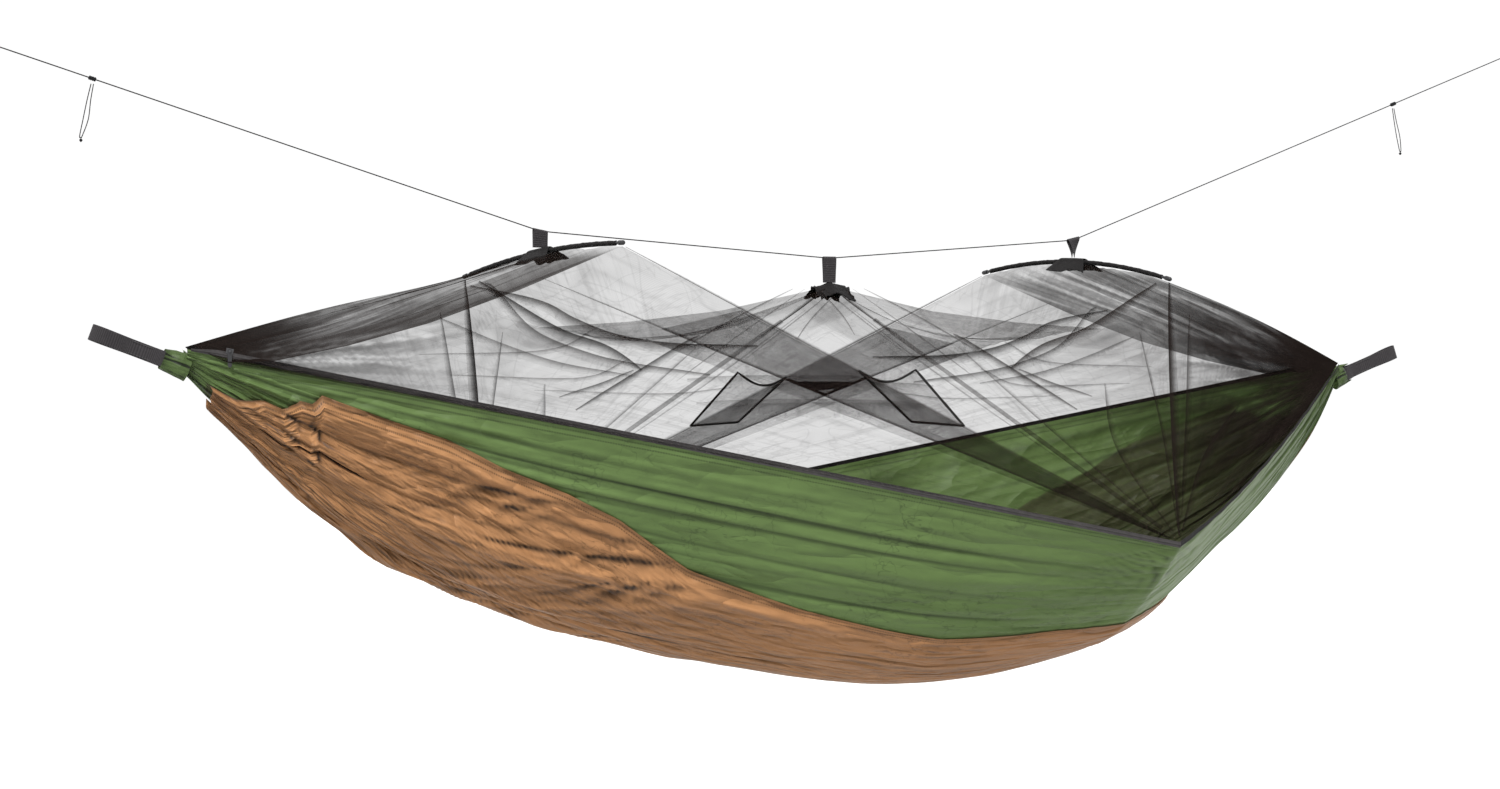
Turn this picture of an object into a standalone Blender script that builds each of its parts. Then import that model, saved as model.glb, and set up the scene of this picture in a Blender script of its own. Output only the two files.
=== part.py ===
"""Camping hammock with a spreader-rod insect net, a mat pocket under the bed and a net ridgeline.

Frame: the origin is on the inner face of the head hanging loop, where the tree strap bears.
+X runs from the head gather to the foot gather, +Y to the far side, +Z up.  Metres.
"""
from math import cos, hypot, pi, radians, sin

import bpy
from mathutils import Matrix, Vector

# ---- driving dimensions -------------------------------------------------------------------
GATHER_SPAN = 2.66         # head gather to foot gather, hung
CORNER_ALONG = 0.534       # each side corner, measured along the span from the middle
CORNER_OUT = 0.485         # each side corner, out from the centre line
CORNER_DROP = 0.352        # side corners below the gathers
KEEL_DEPTH = 0.625         # deepest point of the bed below the gathers
KEEL_SHIFT = 0.29          # deepest point, towards the foot from the middle
KEEL_SIDEWAYS = 0.30       # how far the keel follows the middle of the two edges
EDGE_SAG = 0.034           # slack in the short edge between a corner and its gather
GATHER_HALF_WIDTH = 0.016
GATHER_HALF_HEIGHT = 0.024
BED_START = 0.030          # bed fabric starts this far inside the gather's core
BED_THICKNESS = 0.003
POCKET_THICKNESS = 0.003
POCKET_GAP = 0.005         # clear space between bed and pocket layers
POCKET_INSET = 0.035       # from each end of the bed to the pocket

LOOP_LENGTH = 0.150        # hanging loop, core axis to the bearing face
LOOP_RISE_DEG = 20.0
LOOP_INNER_HALF = 0.008    # half the free width inside a hanging loop
LOOP_CORNER = 0.0045       # inner corner radius of the bight, either side of its flat
WEBBING_WIDTH = 0.030
WEBBING_THICKNESS = 0.0018
CORE_RADIUS = 0.0072       # rolled end hem that the hanging loop passes round
CORE_HALF_HEIGHT = 0.026

ROD_ALONG = 0.608          # rod middles, from the middle of the span
ROD_HALF = 0.283           # half length of a spreader rod
ROD_SKEW_DEG = 9.8
ROD_END_HEIGHT = 0.201     # mean height of the rod ends over the gathers
ROD_TILT = 0.019           # the end on the corner's side hangs lower, the other end higher
ROD_ARCH = {"head": 0.016, "foot": 0.030}
ROD_RADIUS = 0.0030
SLEEVE_RADIUS = 0.0066
SLEEVE_WALL = 0.0012
CAP_RADIUS = 0.0046
CAP_LENGTH = 0.016
CAP_OVER_ROD = 0.009

NET_THICKNESS = 0.0015
CHAIN_STEPS = 6            # points along the net's rim between two supports
NET_START = 0.060          # the net starts this far inside each gather
NET_INSET = 0.004          # from a panel's edge to the line that it is sewn along
NET_PEAK_ALONG = 0.022
NET_PEAK_HEIGHT = 0.168
NET_SAG = 0.070            # slack of the net between a rod end and the middle peak
PATCH_THICKNESS = 0.0012
PATCH_HALF_LENGTH = 0.032
PATCH_BOW = 0.0019         # the straight patch clears the arched sleeve by this much more
PATCH_FLANK = 0.034
PEAK_PATCH_RADIUS = 0.038
PEAK_PATCH_DROP = 0.008

LINE_RADIUS = 0.0011       # ridgeline cord
LINE_OVER_HEAD = 0.257     # height of the line over the gathers, at each net loop
LINE_OVER_MIDDLE = 0.222
LINE_OVER_FOOT = 0.276
LINE_HEAD_RISE = 0.285     # slope of the line outside the head net loop
LINE_FOOT_RISE = 0.388
LINE_HEAD_REACH = 1.700    # end of the line, from the middle of the span
LINE_FOOT_REACH = 1.850
NET_LOOP_INNER_HALF = 0.0042
TENSIONER_HEAD = 1.468     # tensioner knots on the line, from the middle of the span
TENSIONER_FOOT = 1.467
TENSIONER_RADIUS = 0.0042
TENSIONER_LENGTH = 0.013
TAIL_RADIUS = 0.0009
TAIL_LENGTH = 0.098
LINE_KNOT_RADIUS = 0.0042
LINE_KNOT_LENGTH = 0.018
LINE_EYE_LENGTH = 0.042

ZIP_TAPE_HEIGHT = 0.0080   # one half tape, from its free edge to the coil
ZIP_TAPE_THICKNESS = 0.0010
ZIP_COIL = 0.0026          # coil bead, square across
ZIP_GAP = 0.0022           # between the two coil beads
HEM_HALF = 0.0075          # half the height of the bound edges with no zip
SLIDER_LENGTH = 0.013
SLIDER_PLATE = 0.0012
SLIDER_HEIGHT = 0.0100
SLIDER_WEB = 0.0012
SLIDER_PIN_RADIUS = 0.0012
SLIDER_PIN_LENGTH = 0.0036
SLIDER_HEAD_RADIUS = 0.0022
PULL_LENGTH = 0.034
PULL_WIDTH = 0.0080
PULL_THICKNESS = 0.0014
SLIDER_FROM_GATHER = 0.075  # parked slider, from the gather along the edge

ORGANISER_LOW = ((6.8, 0.46), (8.2, 0.44))     # its lower corners: chain step and reach from the corner
ORGANISER_TOP = ((7.0, 0.61), (10.6, 0.66))    # its upper corners
ORGANISER_DIP = 0.018      # slack in its open top, as a share of the net's height there
ORGANISER_THICKNESS = 0.0015
ORGANISER_BINDING = 0.0036
ORGANISER_STANDOFF = 0.016

FIT = 0.0003               # clearance between pieces that touch
SLIP = 0.0005              # clearance between pieces that slide

# ---- derived places -----------------------------------------------------------------------
UP = Vector((0, 0, 1))
RISE = radians(LOOP_RISE_DEG)
HALF_SPAN = GATHER_SPAN / 2
HEAD_GATHER = Vector((LOOP_LENGTH * cos(RISE), 0, -LOOP_LENGTH * sin(RISE)))
MIDDLE = HEAD_GATHER + Vector((HALF_SPAN, 0, 0))
SIDES = {"near": -1, "far": 1}      # the near side has its corner towards the foot
ENDS = {"head": -1, "foot": 1}


def at(along, out, height):
    """A place given from the middle of the span, at the gathers' height."""
    return MIDDLE + Vector((along, out, height))


GATHER = {"head": at(-HALF_SPAN, 0, 0), "foot": at(HALF_SPAN, 0, 0)}
CORNER = {side: at(-sign * CORNER_ALONG, sign * CORNER_OUT, -CORNER_DROP)
          for side, sign in SIDES.items()}
PEAK = at(NET_PEAK_ALONG, 0, NET_PEAK_HEIGHT)
LONG_END = {"near": "head", "far": "foot"}    # the gather at the far end of the straight edge
SHORT_END = {"near": "foot", "far": "head"}


# ---- helpers ------------------------------------------------------------------------------
def start_scene():
    for old in list(bpy.data.objects):
        bpy.data.objects.remove(old, do_unlink=True)
    for old in list(bpy.data.collections):
        bpy.data.collections.remove(old)
    parts = bpy.data.collections.new("camping_hammock")
    cutters = bpy.data.collections.new("cutters")
    bpy.context.scene.collection.children.link(parts)
    bpy.context.scene.collection.children.link(cutters)
    return parts, cutters


PARTS, CUTTERS = start_scene()


def finish(name, colour, roughness=0.8, metallic=0.0):
    mat = bpy.data.materials.new(name)
    mat.use_nodes = True
    shader = mat.node_tree.nodes["Principled BSDF"]
    shader.inputs["Base Color"].default_value = (*colour, 1)
    shader.inputs["Roughness"].default_value = roughness
    shader.inputs["Metallic"].default_value = metallic
    mat.diffuse_color = (*colour, 1)
    return mat


GREEN = (0.105, 0.178, 0.055)
BROWN = (0.30, 0.165, 0.075)
BLACK = (0.018, 0.017, 0.018)
NET = (0.07, 0.06, 0.06)


def add(name, data, colour, roughness=0.8, metallic=0.0):
    """Put a mesh or curve into the hammock's collection with a finish of its own."""
    obj = bpy.data.objects.new(name, data)
    data.materials.append(finish(name, colour, roughness, metallic))
    PARTS.objects.link(obj)
    return obj


def basis(origin, x_dir, y_dir):
    """A matrix whose X and Y lie along the given directions."""
    x = x_dir.normalized()
    z = x.cross(y_dir).normalized()
    y = z.cross(x)
    frame = Matrix((x, y, z)).transposed().to_4x4()
    frame.translation = origin
    return frame


def sheet(name, rows, thickness, colour, offset=0.0, roughness=0.7):
    """A thin closed cloth solid through rows of points."""
    count = len(rows[0])
    points = [p for row in rows for p in row]
    faces = [(i * count + j, i * count + j + 1, (i + 1) * count + j + 1, (i + 1) * count + j)
             for i in range(len(rows) - 1) for j in range(count - 1)]
    mesh = bpy.data.meshes.new(name)
    mesh.from_pydata(points, [], faces)
    mesh.validate()
    obj = add(name, mesh, colour, roughness)
    wall = obj.modifiers.new("thickness", "SOLIDIFY")
    wall.thickness = thickness
    wall.offset = offset
    wall.use_even_offset = False
    return obj


def smooth_path(anchors, steps):
    """A smooth curve through hand-picked points (Catmull-Rom)."""
    ends = [2 * anchors[0] - anchors[1]] + list(anchors) + [2 * anchors[-1] - anchors[-2]]
    path = []
    for a, b, c, d in zip(ends, ends[1:], ends[2:], ends[3:]):
        for k in range(steps):
            t = k / steps
            path.append(0.5 * (2 * b + (c - a) * t + (2 * a - 5 * b + 4 * c - d) * t * t
                               + (3 * b - a - 3 * c + d) * t ** 3))
    return path + [anchors[-1]]


def tube(name, points, radius, colour, closed=False, caps=True, sides=2, roughness=0.7):
    data = bpy.data.curves.new(name, "CURVE")
    data.dimensions = "3D"
    data.bevel_depth = radius
    data.bevel_resolution = sides
    data.use_fill_caps = caps and not closed
    spline = data.splines.new("POLY")
    spline.points.add(len(points) - 1)
    for knot, p in zip(spline.points, points):
        knot.co = (*p, 1)
    spline.use_cyclic_u = closed
    return add(name, data, colour, roughness)


def prism(name, outlines, half_length, frame, colour, roughness=0.6, metallic=0.0):
    """A flat outline, with any holes after it, pushed both ways along the frame's Z."""
    data = bpy.data.curves.new(name, "CURVE")
    data.dimensions = "2D"
    data.fill_mode = "BOTH"
    data.extrude = half_length
    for outline in outlines:
        spline = data.splines.new("POLY")
        spline.points.add(len(outline) - 1)
        for knot, (x, y) in zip(spline.points, outline):
            knot.co = (x, y, 0, 1)
        spline.use_cyclic_u = True
    obj = add(name, data, colour, roughness, metallic)
    obj.matrix_world = frame
    return obj


def turned(name, profile, frame, colour, steps=16, roughness=0.7):
    """A closed profile of (radius, height) turned round the frame's Z."""
    mesh = bpy.data.meshes.new(name)
    count = len(profile)
    mesh.from_pydata([(r, 0, h) for r, h in profile],
                     [(i, (i + 1) % count) for i in range(count)], [])
    obj = add(name, mesh, colour, roughness)
    obj.matrix_world = frame
    screw = obj.modifiers.new("turn", "SCREW")
    screw.steps = steps
    screw.render_steps = steps
    screw.merge_threshold = 0.00001
    screw.use_merge_vertices = True
    screw.use_smooth_shade = True
    return obj


def arc(centre_x, centre_y, radius, start, stop, steps):
    turns = [start + (stop - start) * k / steps for k in range(steps + 1)]
    return [(centre_x + radius * cos(a), centre_y + radius * sin(a)) for a in turns]


def as_mesh(obj):
    """Replace a curve object by its mesh, with its caps welded."""
    import bmesh
    graph = bpy.context.evaluated_depsgraph_get()
    bpy.context.view_layer.update()
    mesh = bpy.data.meshes.new_from_object(obj.evaluated_get(graph))
    work = bmesh.new()
    work.from_mesh(mesh)
    bmesh.ops.remove_doubles(work, verts=work.verts, dist=0.00001)
    work.to_mesh(mesh)
    work.free()
    name, place, home = obj.name, obj.matrix_world.copy(), obj.users_collection[0]
    bpy.data.objects.remove(obj, do_unlink=True)
    solid = bpy.data.objects.new(name, mesh)
    solid.matrix_world = place
    home.objects.link(solid)
    return solid


# ---- the bed's shape ----------------------------------------------------------------------
def edge_point(side, along):
    """The side edge over a distance along the span, given from the middle."""
    sign = SIDES[side]
    towards = -sign * along                       # positive towards this side's corner
    start = BED_START
    if towards <= CORNER_ALONG:
        share = (towards + HALF_SPAN - start) / (CORNER_ALONG + HALF_SPAN - start)
        slack = 0.0
    else:
        share = (HALF_SPAN - start - towards) / (HALF_SPAN - start - CORNER_ALONG)
        slack = 4 * EDGE_SAG * share * (1 - share)
    out = GATHER_HALF_WIDTH + (CORNER_OUT - GATHER_HALF_WIDTH) * share
    top = GATHER_HALF_HEIGHT * 0.9
    height = top - (CORNER_DROP + top) * share - slack
    return at(along, sign * out, height)


def keel_height(along):
    """The lowest line of the bed, read from a smooth curve through route points."""
    reach = HALF_SPAN - BED_START
    route = [Vector((-reach, 0, -GATHER_HALF_HEIGHT)), Vector((-0.93 * reach, 0, -0.17 * KEEL_DEPTH)),
             Vector((-0.71 * reach, 0, -0.53 * KEEL_DEPTH)),
             Vector((-0.42 * reach, 0, -0.79 * KEEL_DEPTH)),
             Vector((-0.02 * reach, 0, -0.985 * KEEL_DEPTH)), Vector((KEEL_SHIFT, 0, -KEEL_DEPTH)),
             Vector((0.48 * reach, 0, -0.87 * KEEL_DEPTH)), Vector((0.64 * reach, 0, -0.68 * KEEL_DEPTH)),
             Vector((0.80 * reach, 0, -0.48 * KEEL_DEPTH)), Vector((0.93 * reach, 0, -0.24 * KEEL_DEPTH)),
             Vector((reach, 0, -GATHER_HALF_HEIGHT))]
    return height_on(smooth_path(route, 8), along)


def height_on(path, along):
    for a, b in zip(path, path[1:]):
        if a.x <= along <= b.x:
            return a.z + (b.z - a.z) * (along - a.x) / (b.x - a.x)
    return path[0].z if along < path[0].x else path[-1].z


def bed_point(along, round_share, outwards=0.0):
    """A place on the bed: round_share runs from the near edge, 0, to the far edge, 1."""
    near, far = edge_point("near", along), edge_point("far", along)
    bottom = at(along, KEEL_SIDEWAYS * (near.y + far.y), keel_height(along))
    edge, side = (near, -1) if round_share < 0.5 else (far, 1)
    reach = abs(1 - 2 * round_share)
    width, depth = edge.y - bottom.y, edge.z - bottom.z
    place = Vector((edge.x, bottom.y + width * reach, edge.z - depth * (1 - reach * reach)))
    normal = Vector((0, side * 2 * depth * reach, -abs(width))).normalized()
    return place + normal * outwards


def stations(count, start=-1.0, stop=1.0):
    """Places along the span, closer together towards the gathers, with the corners among them."""
    reach = HALF_SPAN - BED_START
    base = [reach * sin(0.5 * pi * (start + (stop - start) * k / count)) for k in range(count + 1)]
    for corner in (-CORNER_ALONG, CORNER_ALONG):
        nearest = min(range(len(base)), key=lambda k: abs(base[k] - corner))
        base[nearest] = corner
    return base


def make_bed():
    rows = [[bed_point(x, k / 20) for k in range(21)] for x in stations(30)]
    sheet("bed_shell", rows, BED_THICKNESS, GREEN)


def pocket_rim(side, along):
    """Share of the way round at which the mat pocket's rim lies, on one side."""
    towards = -SIDES[side] * along                # positive towards this side's corner
    route = [Vector((-1.27, 0, 0.24)), Vector((-1.06, 0, 0.07)), Vector((-0.74, 0, 0.08)),
             Vector((-0.50, 0, 0.12)), Vector((-0.14, 0, 0.21)), Vector((0.25, 0, 0.235)),
             Vector((0.60, 0, 0.23)), Vector((0.82, 0, 0.37)),
             Vector((1.20, 0, 0.41))]
    return height_on(smooth_path(route, 6), towards)


def make_pocket():
    skin = BED_THICKNESS / 2 + POCKET_GAP + POCKET_THICKNESS / 2
    reach = HALF_SPAN - BED_START - POCKET_INSET
    rows = []
    for x in [x for x in stations(30) if abs(x) < reach - 0.01]:
        low, high = pocket_rim("near", x), 1 - pocket_rim("far", x)
        rows.append([bed_point(x, low + (high - low) * k / 20, skin) for k in range(21)])
    sheet("mat_pocket", rows, POCKET_THICKNESS, BROWN)


# ---- gathers and hanging loops ------------------------------------------------------------
def make_gather(end):
    sign = ENDS[end]
    out = Vector((sign * cos(RISE), 0, sin(RISE)))
    stand = Vector((-sign * sin(RISE), 0, cos(RISE)))
    pivot = GATHER[end]
    frame = Matrix((out, stand.cross(out), stand)).transposed().to_4x4()
    frame.translation = pivot
    ring = arc(0, 0, CORE_RADIUS, 0, 2 * pi * 15 / 16, 15)
    prism(end + "_gather_core", [ring], CORE_HALF_HEIGHT, frame, GREEN)
    inner = LOOP_INNER_HALF
    outer = inner + WEBBING_THICKNESS
    reach = LOOP_LENGTH - inner

    def band(half, corner):
        """Round the core at one end; a flat bight with rounded corners at the other."""
        flat = half - corner
        bight = arc(reach + inner - corner - (inner - half), -flat, corner, -pi / 2, 0, 4)
        bight += arc(reach + inner - corner - (inner - half), flat, corner, 0, pi / 2, 4)
        return arc(0, 0, half, pi / 2, 3 * pi / 2, 8) + bight

    outlines = [band(outer, LOOP_CORNER + WEBBING_THICKNESS), band(inner, LOOP_CORNER)]
    prism(end + "_hanging_loop", outlines, WEBBING_WIDTH / 2, frame, BLACK)


# ---- spreader rods ------------------------------------------------------------------------
def rod_point(end, across):
    """The rod's line: across runs from -1 at its near end to 1 at its far end."""
    sign = ENDS[end]
    along = sign * ROD_ALONG - across * ROD_HALF * sin(radians(ROD_SKEW_DEG))
    out = across * ROD_HALF * cos(radians(ROD_SKEW_DEG))
    height = ROD_END_HEIGHT + sign * across * ROD_TILT + ROD_ARCH[end] * (1 - across * across)
    return at(along, out, height)


def make_rod(end):
    line = [rod_point(end, -1 + 2 * k / 16) for k in range(17)]
    tube(end + "_spreader_rod", line, ROD_RADIUS, BLACK, roughness=0.4)
    hidden = 0.006 / ROD_HALF
    cover = [rod_point(end, (-1 + 2 * k / 16) * (1 - CAP_OVER_ROD / ROD_HALF - hidden))
             for k in range(17)]
    skin = as_mesh(tube(end + "_rod_sleeve", cover, SLEEVE_RADIUS, BLACK, caps=False, sides=3))
    skin.data.materials.clear()
    skin.data.materials.append(finish(end + "_rod_sleeve", BLACK))
    wall = skin.modifiers.new("wall", "SOLIDIFY")
    wall.thickness = SLEEVE_WALL
    wall.offset = -1
    for side, sign in SIDES.items():
        tip = rod_point(end, sign)
        out = tip - rod_point(end, sign * 0.9)
        frame = Matrix.Translation(tip) @ out.to_track_quat("Z", "X").to_matrix().to_4x4()
        bore, skirt = ROD_RADIUS + 2 * FIT, -CAP_OVER_ROD
        nose = CAP_LENGTH - CAP_OVER_ROD
        cup = [(CAP_RADIUS, skirt), (CAP_RADIUS, nose * 0.5), (CAP_RADIUS * 0.7, nose * 0.88),
               (0.0, nose), (0.0, FIT), (bore, FIT), (bore, skirt)]
        turned("%s_rod_cap_%s" % (end, side), cup[::-1], frame, BLACK, steps=12)


# ---- the net ------------------------------------------------------------------------------
def rod_seat(end, across):
    """Where the net passes under a rod's sleeve."""
    return rod_point(end, across) - UP * (SLEEVE_RADIUS + NET_THICKNESS)


def chain(side):
    """The net's upper line on one side: head gather, rod end, peak, rod end, foot gather."""
    sign = SIDES[side]
    nudge = Vector((0, sign * NET_INSET, -PATCH_THICKNESS - NET_THICKNESS))
    stops = [seam_point(side, -HALF_SPAN + NET_START), rod_seat("head", sign), PEAK + nudge,
             rod_seat("foot", sign), seam_point(side, HALF_SPAN - NET_START)]
    line = []
    for a, b, slack in zip(stops, stops[1:], (0.012, NET_SAG, NET_SAG, 0.012)):
        for k in range(CHAIN_STEPS):
            t = k / CHAIN_STEPS
            line.append(a.lerp(b, t) - UP * (4 * slack * t * (1 - t)))
    return line + [stops[-1]]


ZIP_HALF = ZIP_TAPE_HEIGHT + ZIP_GAP / 2
SEAM_OVER_EDGE = 2 * ZIP_HALF + 0.0040


def seam_point(side, along):
    """The net's lower seam line, just over the zip or hem on the bed's edge."""
    return edge_point(side, along) + UP * SEAM_OVER_EDGE


def net_point(side, step, reach):
    """A place on a side's net: step counts along the chain from the long edge's gather, and
    reach runs from the bed's corner, 0, to the chain, 1."""
    top = chain(side)
    if side == "far":
        top = top[::-1]
    last = len(top) - 1
    k = min(int(step), last - 1)
    rim = top[k].lerp(top[k + 1], step - k)
    slack = 4 * EDGE_SAG * max(0.0, 1 - (last - step) / 8) ** 2
    apex = seam_point(side, -SIDES[side] * CORNER_ALONG)
    return apex.lerp(rim, reach) - UP * (slack * reach * (1 - reach))


def make_net_side(side):
    """A fan of net from the bed's corner up to the chain of rods and peak."""
    rows = [[net_point(side, j, NET_START + (1 - NET_START) * k / 8) for j in range(4 * CHAIN_STEPS + 1)]
            for k in range(9)]
    sheet("net_%s_side" % side, rows, NET_THICKNESS, NET)


def make_net_top(end):
    """The net's top between the two chains, from the gather over the rod to the peak."""
    lines = {side: chain(side) for side in SIDES}
    half = len(lines["near"]) // 2
    span = range(0, half + 1) if end == "head" else range(half, 2 * half + 1)
    rows = []
    for k in span:
        near, far = lines["near"][k], lines["far"][k]
        width = (far - near).length
        if width < 0.045:
            continue
        inset = 0.012 / width
        rows.append([near.lerp(far, inset + (1 - 2 * inset) * j / 8)
                     + UP * (arch_over(end, k, half) * (1 - (2 * j / 8 - 1) ** 2)) for j in range(9)])
    sheet("net_top_" + end, rows, NET_THICKNESS, NET)


def arch_over(end, k, half):
    """Height of the rod's arch carried into the top panel, fading away from the rod."""
    rod_at = CHAIN_STEPS if end == "head" else 2 * half - CHAIN_STEPS
    return ROD_ARCH[end] * max(0.0, 1 - abs(k - rod_at) / CHAIN_STEPS)


def make_seam(side):
    """The sewn band from the peak to the side's corner, on the outside of the net."""
    sign = SIDES[side]
    apex = seam_point(side, -sign * CORNER_ALONG)
    lift = Vector((0, sign * 0.008, 0.005))
    peak = PEAK + Vector((0, sign * 0.030, -0.020))
    line = (apex - peak).normalized()
    across = line.cross(Vector((0, sign, 0))).normalized() * 0.010
    rows = [[peak.lerp(apex, 0.04 + 0.86 * k / 8) + lift + across * j for j in (-1, 1)]
            for k in range(9)]
    sheet("net_seam_" + side, rows, 0.0010, BLACK)


def make_patch(end):
    """A reinforcement patch folded over the rod's sleeve, under the net loop."""
    centre = rod_point(end, 0)
    along_rod = (rod_point(end, 0.1) - rod_point(end, -0.1)).normalized()
    frame = basis(centre, along_rod.cross(UP), UP)
    inner = SLEEVE_RADIUS + FIT + PATCH_BOW
    outer = inner + PATCH_THICKNESS
    wrap = radians(34)                            # the flanks leave the sleeve at this height

    def flank(radius, sign):
        return (sign * (radius * cos(wrap) + PATCH_FLANK * 0.6), radius * sin(wrap) - PATCH_FLANK * 0.35)

    over = arc(0, 0, outer, wrap, pi - wrap, 8)
    under = arc(0, 0, inner, pi - wrap, wrap, 8)
    outline = [flank(outer, 1)] + over + [flank(outer, -1), flank(inner, -1)] + under
    outline.append(flank(inner, 1))
    prism("patch_" + end, [outline], PATCH_HALF_LENGTH, frame, BLACK)


def make_peak_patch():
    bpy.ops.mesh.primitive_cone_add(vertices=8, radius1=PEAK_PATCH_RADIUS, radius2=0.004,
                                    depth=PEAK_PATCH_DROP, end_fill_type="NOTHING")
    cone = bpy.context.object
    cone.name = "patch_middle"
    for home in list(cone.users_collection):
        home.objects.unlink(cone)
    PARTS.objects.link(cone)
    cone.data.materials.append(finish("patch_middle", BLACK))
    cone.location = PEAK + UP * (0.004 - PEAK_PATCH_DROP / 2)
    wall = cone.modifiers.new("wall", "SOLIDIFY")
    wall.thickness = PATCH_THICKNESS
    wall.offset = 1


# ---- net loops and ridgeline --------------------------------------------------------------
LINE_AT = {"head": at(-ROD_ALONG, 0, LINE_OVER_HEAD),
           "middle": at(NET_PEAK_ALONG, 0, LINE_OVER_MIDDLE),
           "foot": at(ROD_ALONG, 0, LINE_OVER_FOOT)}
ROD_PATCH_TOP = SLEEVE_RADIUS + FIT + PATCH_BOW + PATCH_THICKNESS
LOOP_SEAT = {"head": rod_point("head", 0).z + ROD_PATCH_TOP,
             "middle": PEAK.z + 0.004 + PATCH_THICKNESS,
             "foot": rod_point("foot", 0).z + ROD_PATCH_TOP}


def make_net_loop(place):
    """A webbing loop over the ridgeline, sewn to its patch at the foot."""
    crown = LINE_AT[place]
    inner = NET_LOOP_INNER_HALF
    outer = inner + WEBBING_THICKNESS
    before, after = line_slopes(place)
    tilt = (before + after) / 2
    dip = WEBBING_WIDTH / 2 * (abs(after - before) / 2 + 0.01)
    low = LOOP_SEAT[place] + FIT * 2 + WEBBING_WIDTH / 2 * abs(tilt) - crown.z
    centre = LINE_RADIUS + SLIP + dip - inner
    floor = low + WEBBING_THICKNESS
    frame = basis(crown, Vector((0, 1, 0)), Vector((-tilt, 0, 1)))
    skin = arc(0, centre, outer, 0, pi, 8) + [(-outer, low), (outer, low)]
    hole = arc(0, centre, inner, 0, pi, 8) + [(-inner, floor), (inner, floor)]
    prism("net_loop_" + place, [skin, hole], WEBBING_WIDTH / 2, frame, BLACK)


def line_slopes(place):
    """Slopes of the line on the head side and the foot side of a net loop."""
    inner_head = (LINE_OVER_MIDDLE - LINE_OVER_HEAD) / (ROD_ALONG + NET_PEAK_ALONG)
    inner_foot = (LINE_OVER_FOOT - LINE_OVER_MIDDLE) / (ROD_ALONG - NET_PEAK_ALONG)
    return {"head": (-LINE_HEAD_RISE, inner_head), "middle": (inner_head, inner_foot),
            "foot": (inner_foot, LINE_FOOT_RISE)}[place]


def line_end(end):
    sign = ENDS[end]
    rise, reach = ((LINE_HEAD_RISE, LINE_HEAD_REACH), (LINE_FOOT_RISE, LINE_FOOT_REACH))[sign > 0]
    start = LINE_AT[end]
    run = reach - ROD_ALONG
    return Vector((start.x + sign * run, 0, start.z + rise * run))


def line_direction(end):
    return (line_end(end) - LINE_AT[end]).normalized()


def make_ridgeline():
    bend = 0.012
    anchors = [line_end("head")]
    stops = [line_end("head"), LINE_AT["head"], LINE_AT["middle"], LINE_AT["foot"], line_end("foot")]
    for before, here, after in zip(stops, stops[1:], stops[2:]):
        anchors.append(here + (before - here).normalized() * bend * 2)
        anchors.append(here + ((before - here).normalized() + (after - here).normalized()) * bend / 4)
        anchors.append(here + (after - here).normalized() * bend * 2)
    anchors.append(line_end("foot"))
    tube("ridgeline", smooth_path(anchors, 4), LINE_RADIUS, BLACK)
    for end in ENDS:
        out = line_direction(end)
        frame = Matrix.Translation(line_end(end)) @ out.to_track_quat("Z", "X").to_matrix().to_4x4()
        lumps = [(LINE_KNOT_RADIUS * (1 - 0.22 * abs(cos(pi * 3 * k / 12))),
                  FIT + LINE_KNOT_LENGTH * k / 12) for k in range(13)]
        turned(end + "_line_knot", [(0, FIT + LINE_KNOT_LENGTH)] + lumps[::-1] + [(0, FIT)],
               frame, BLACK, steps=12)
        start = FIT * 2 + LINE_KNOT_LENGTH + LINE_RADIUS
        half = LINE_EYE_LENGTH / 2
        ring = [frame @ Vector((0.010 * sin(2 * pi * k / 20), 0, start + half - half * cos(2 * pi * k / 20)))
                for k in range(20)]
        tube(end + "_line_eye", ring, LINE_RADIUS, BLACK, closed=True)


def tensioner_centre(end):
    reach = TENSIONER_HEAD if end == "head" else TENSIONER_FOOT
    share = (reach - ROD_ALONG) / ((LINE_HEAD_REACH if end == "head" else LINE_FOOT_REACH) - ROD_ALONG)
    return LINE_AT[end].lerp(line_end(end), share)


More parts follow.
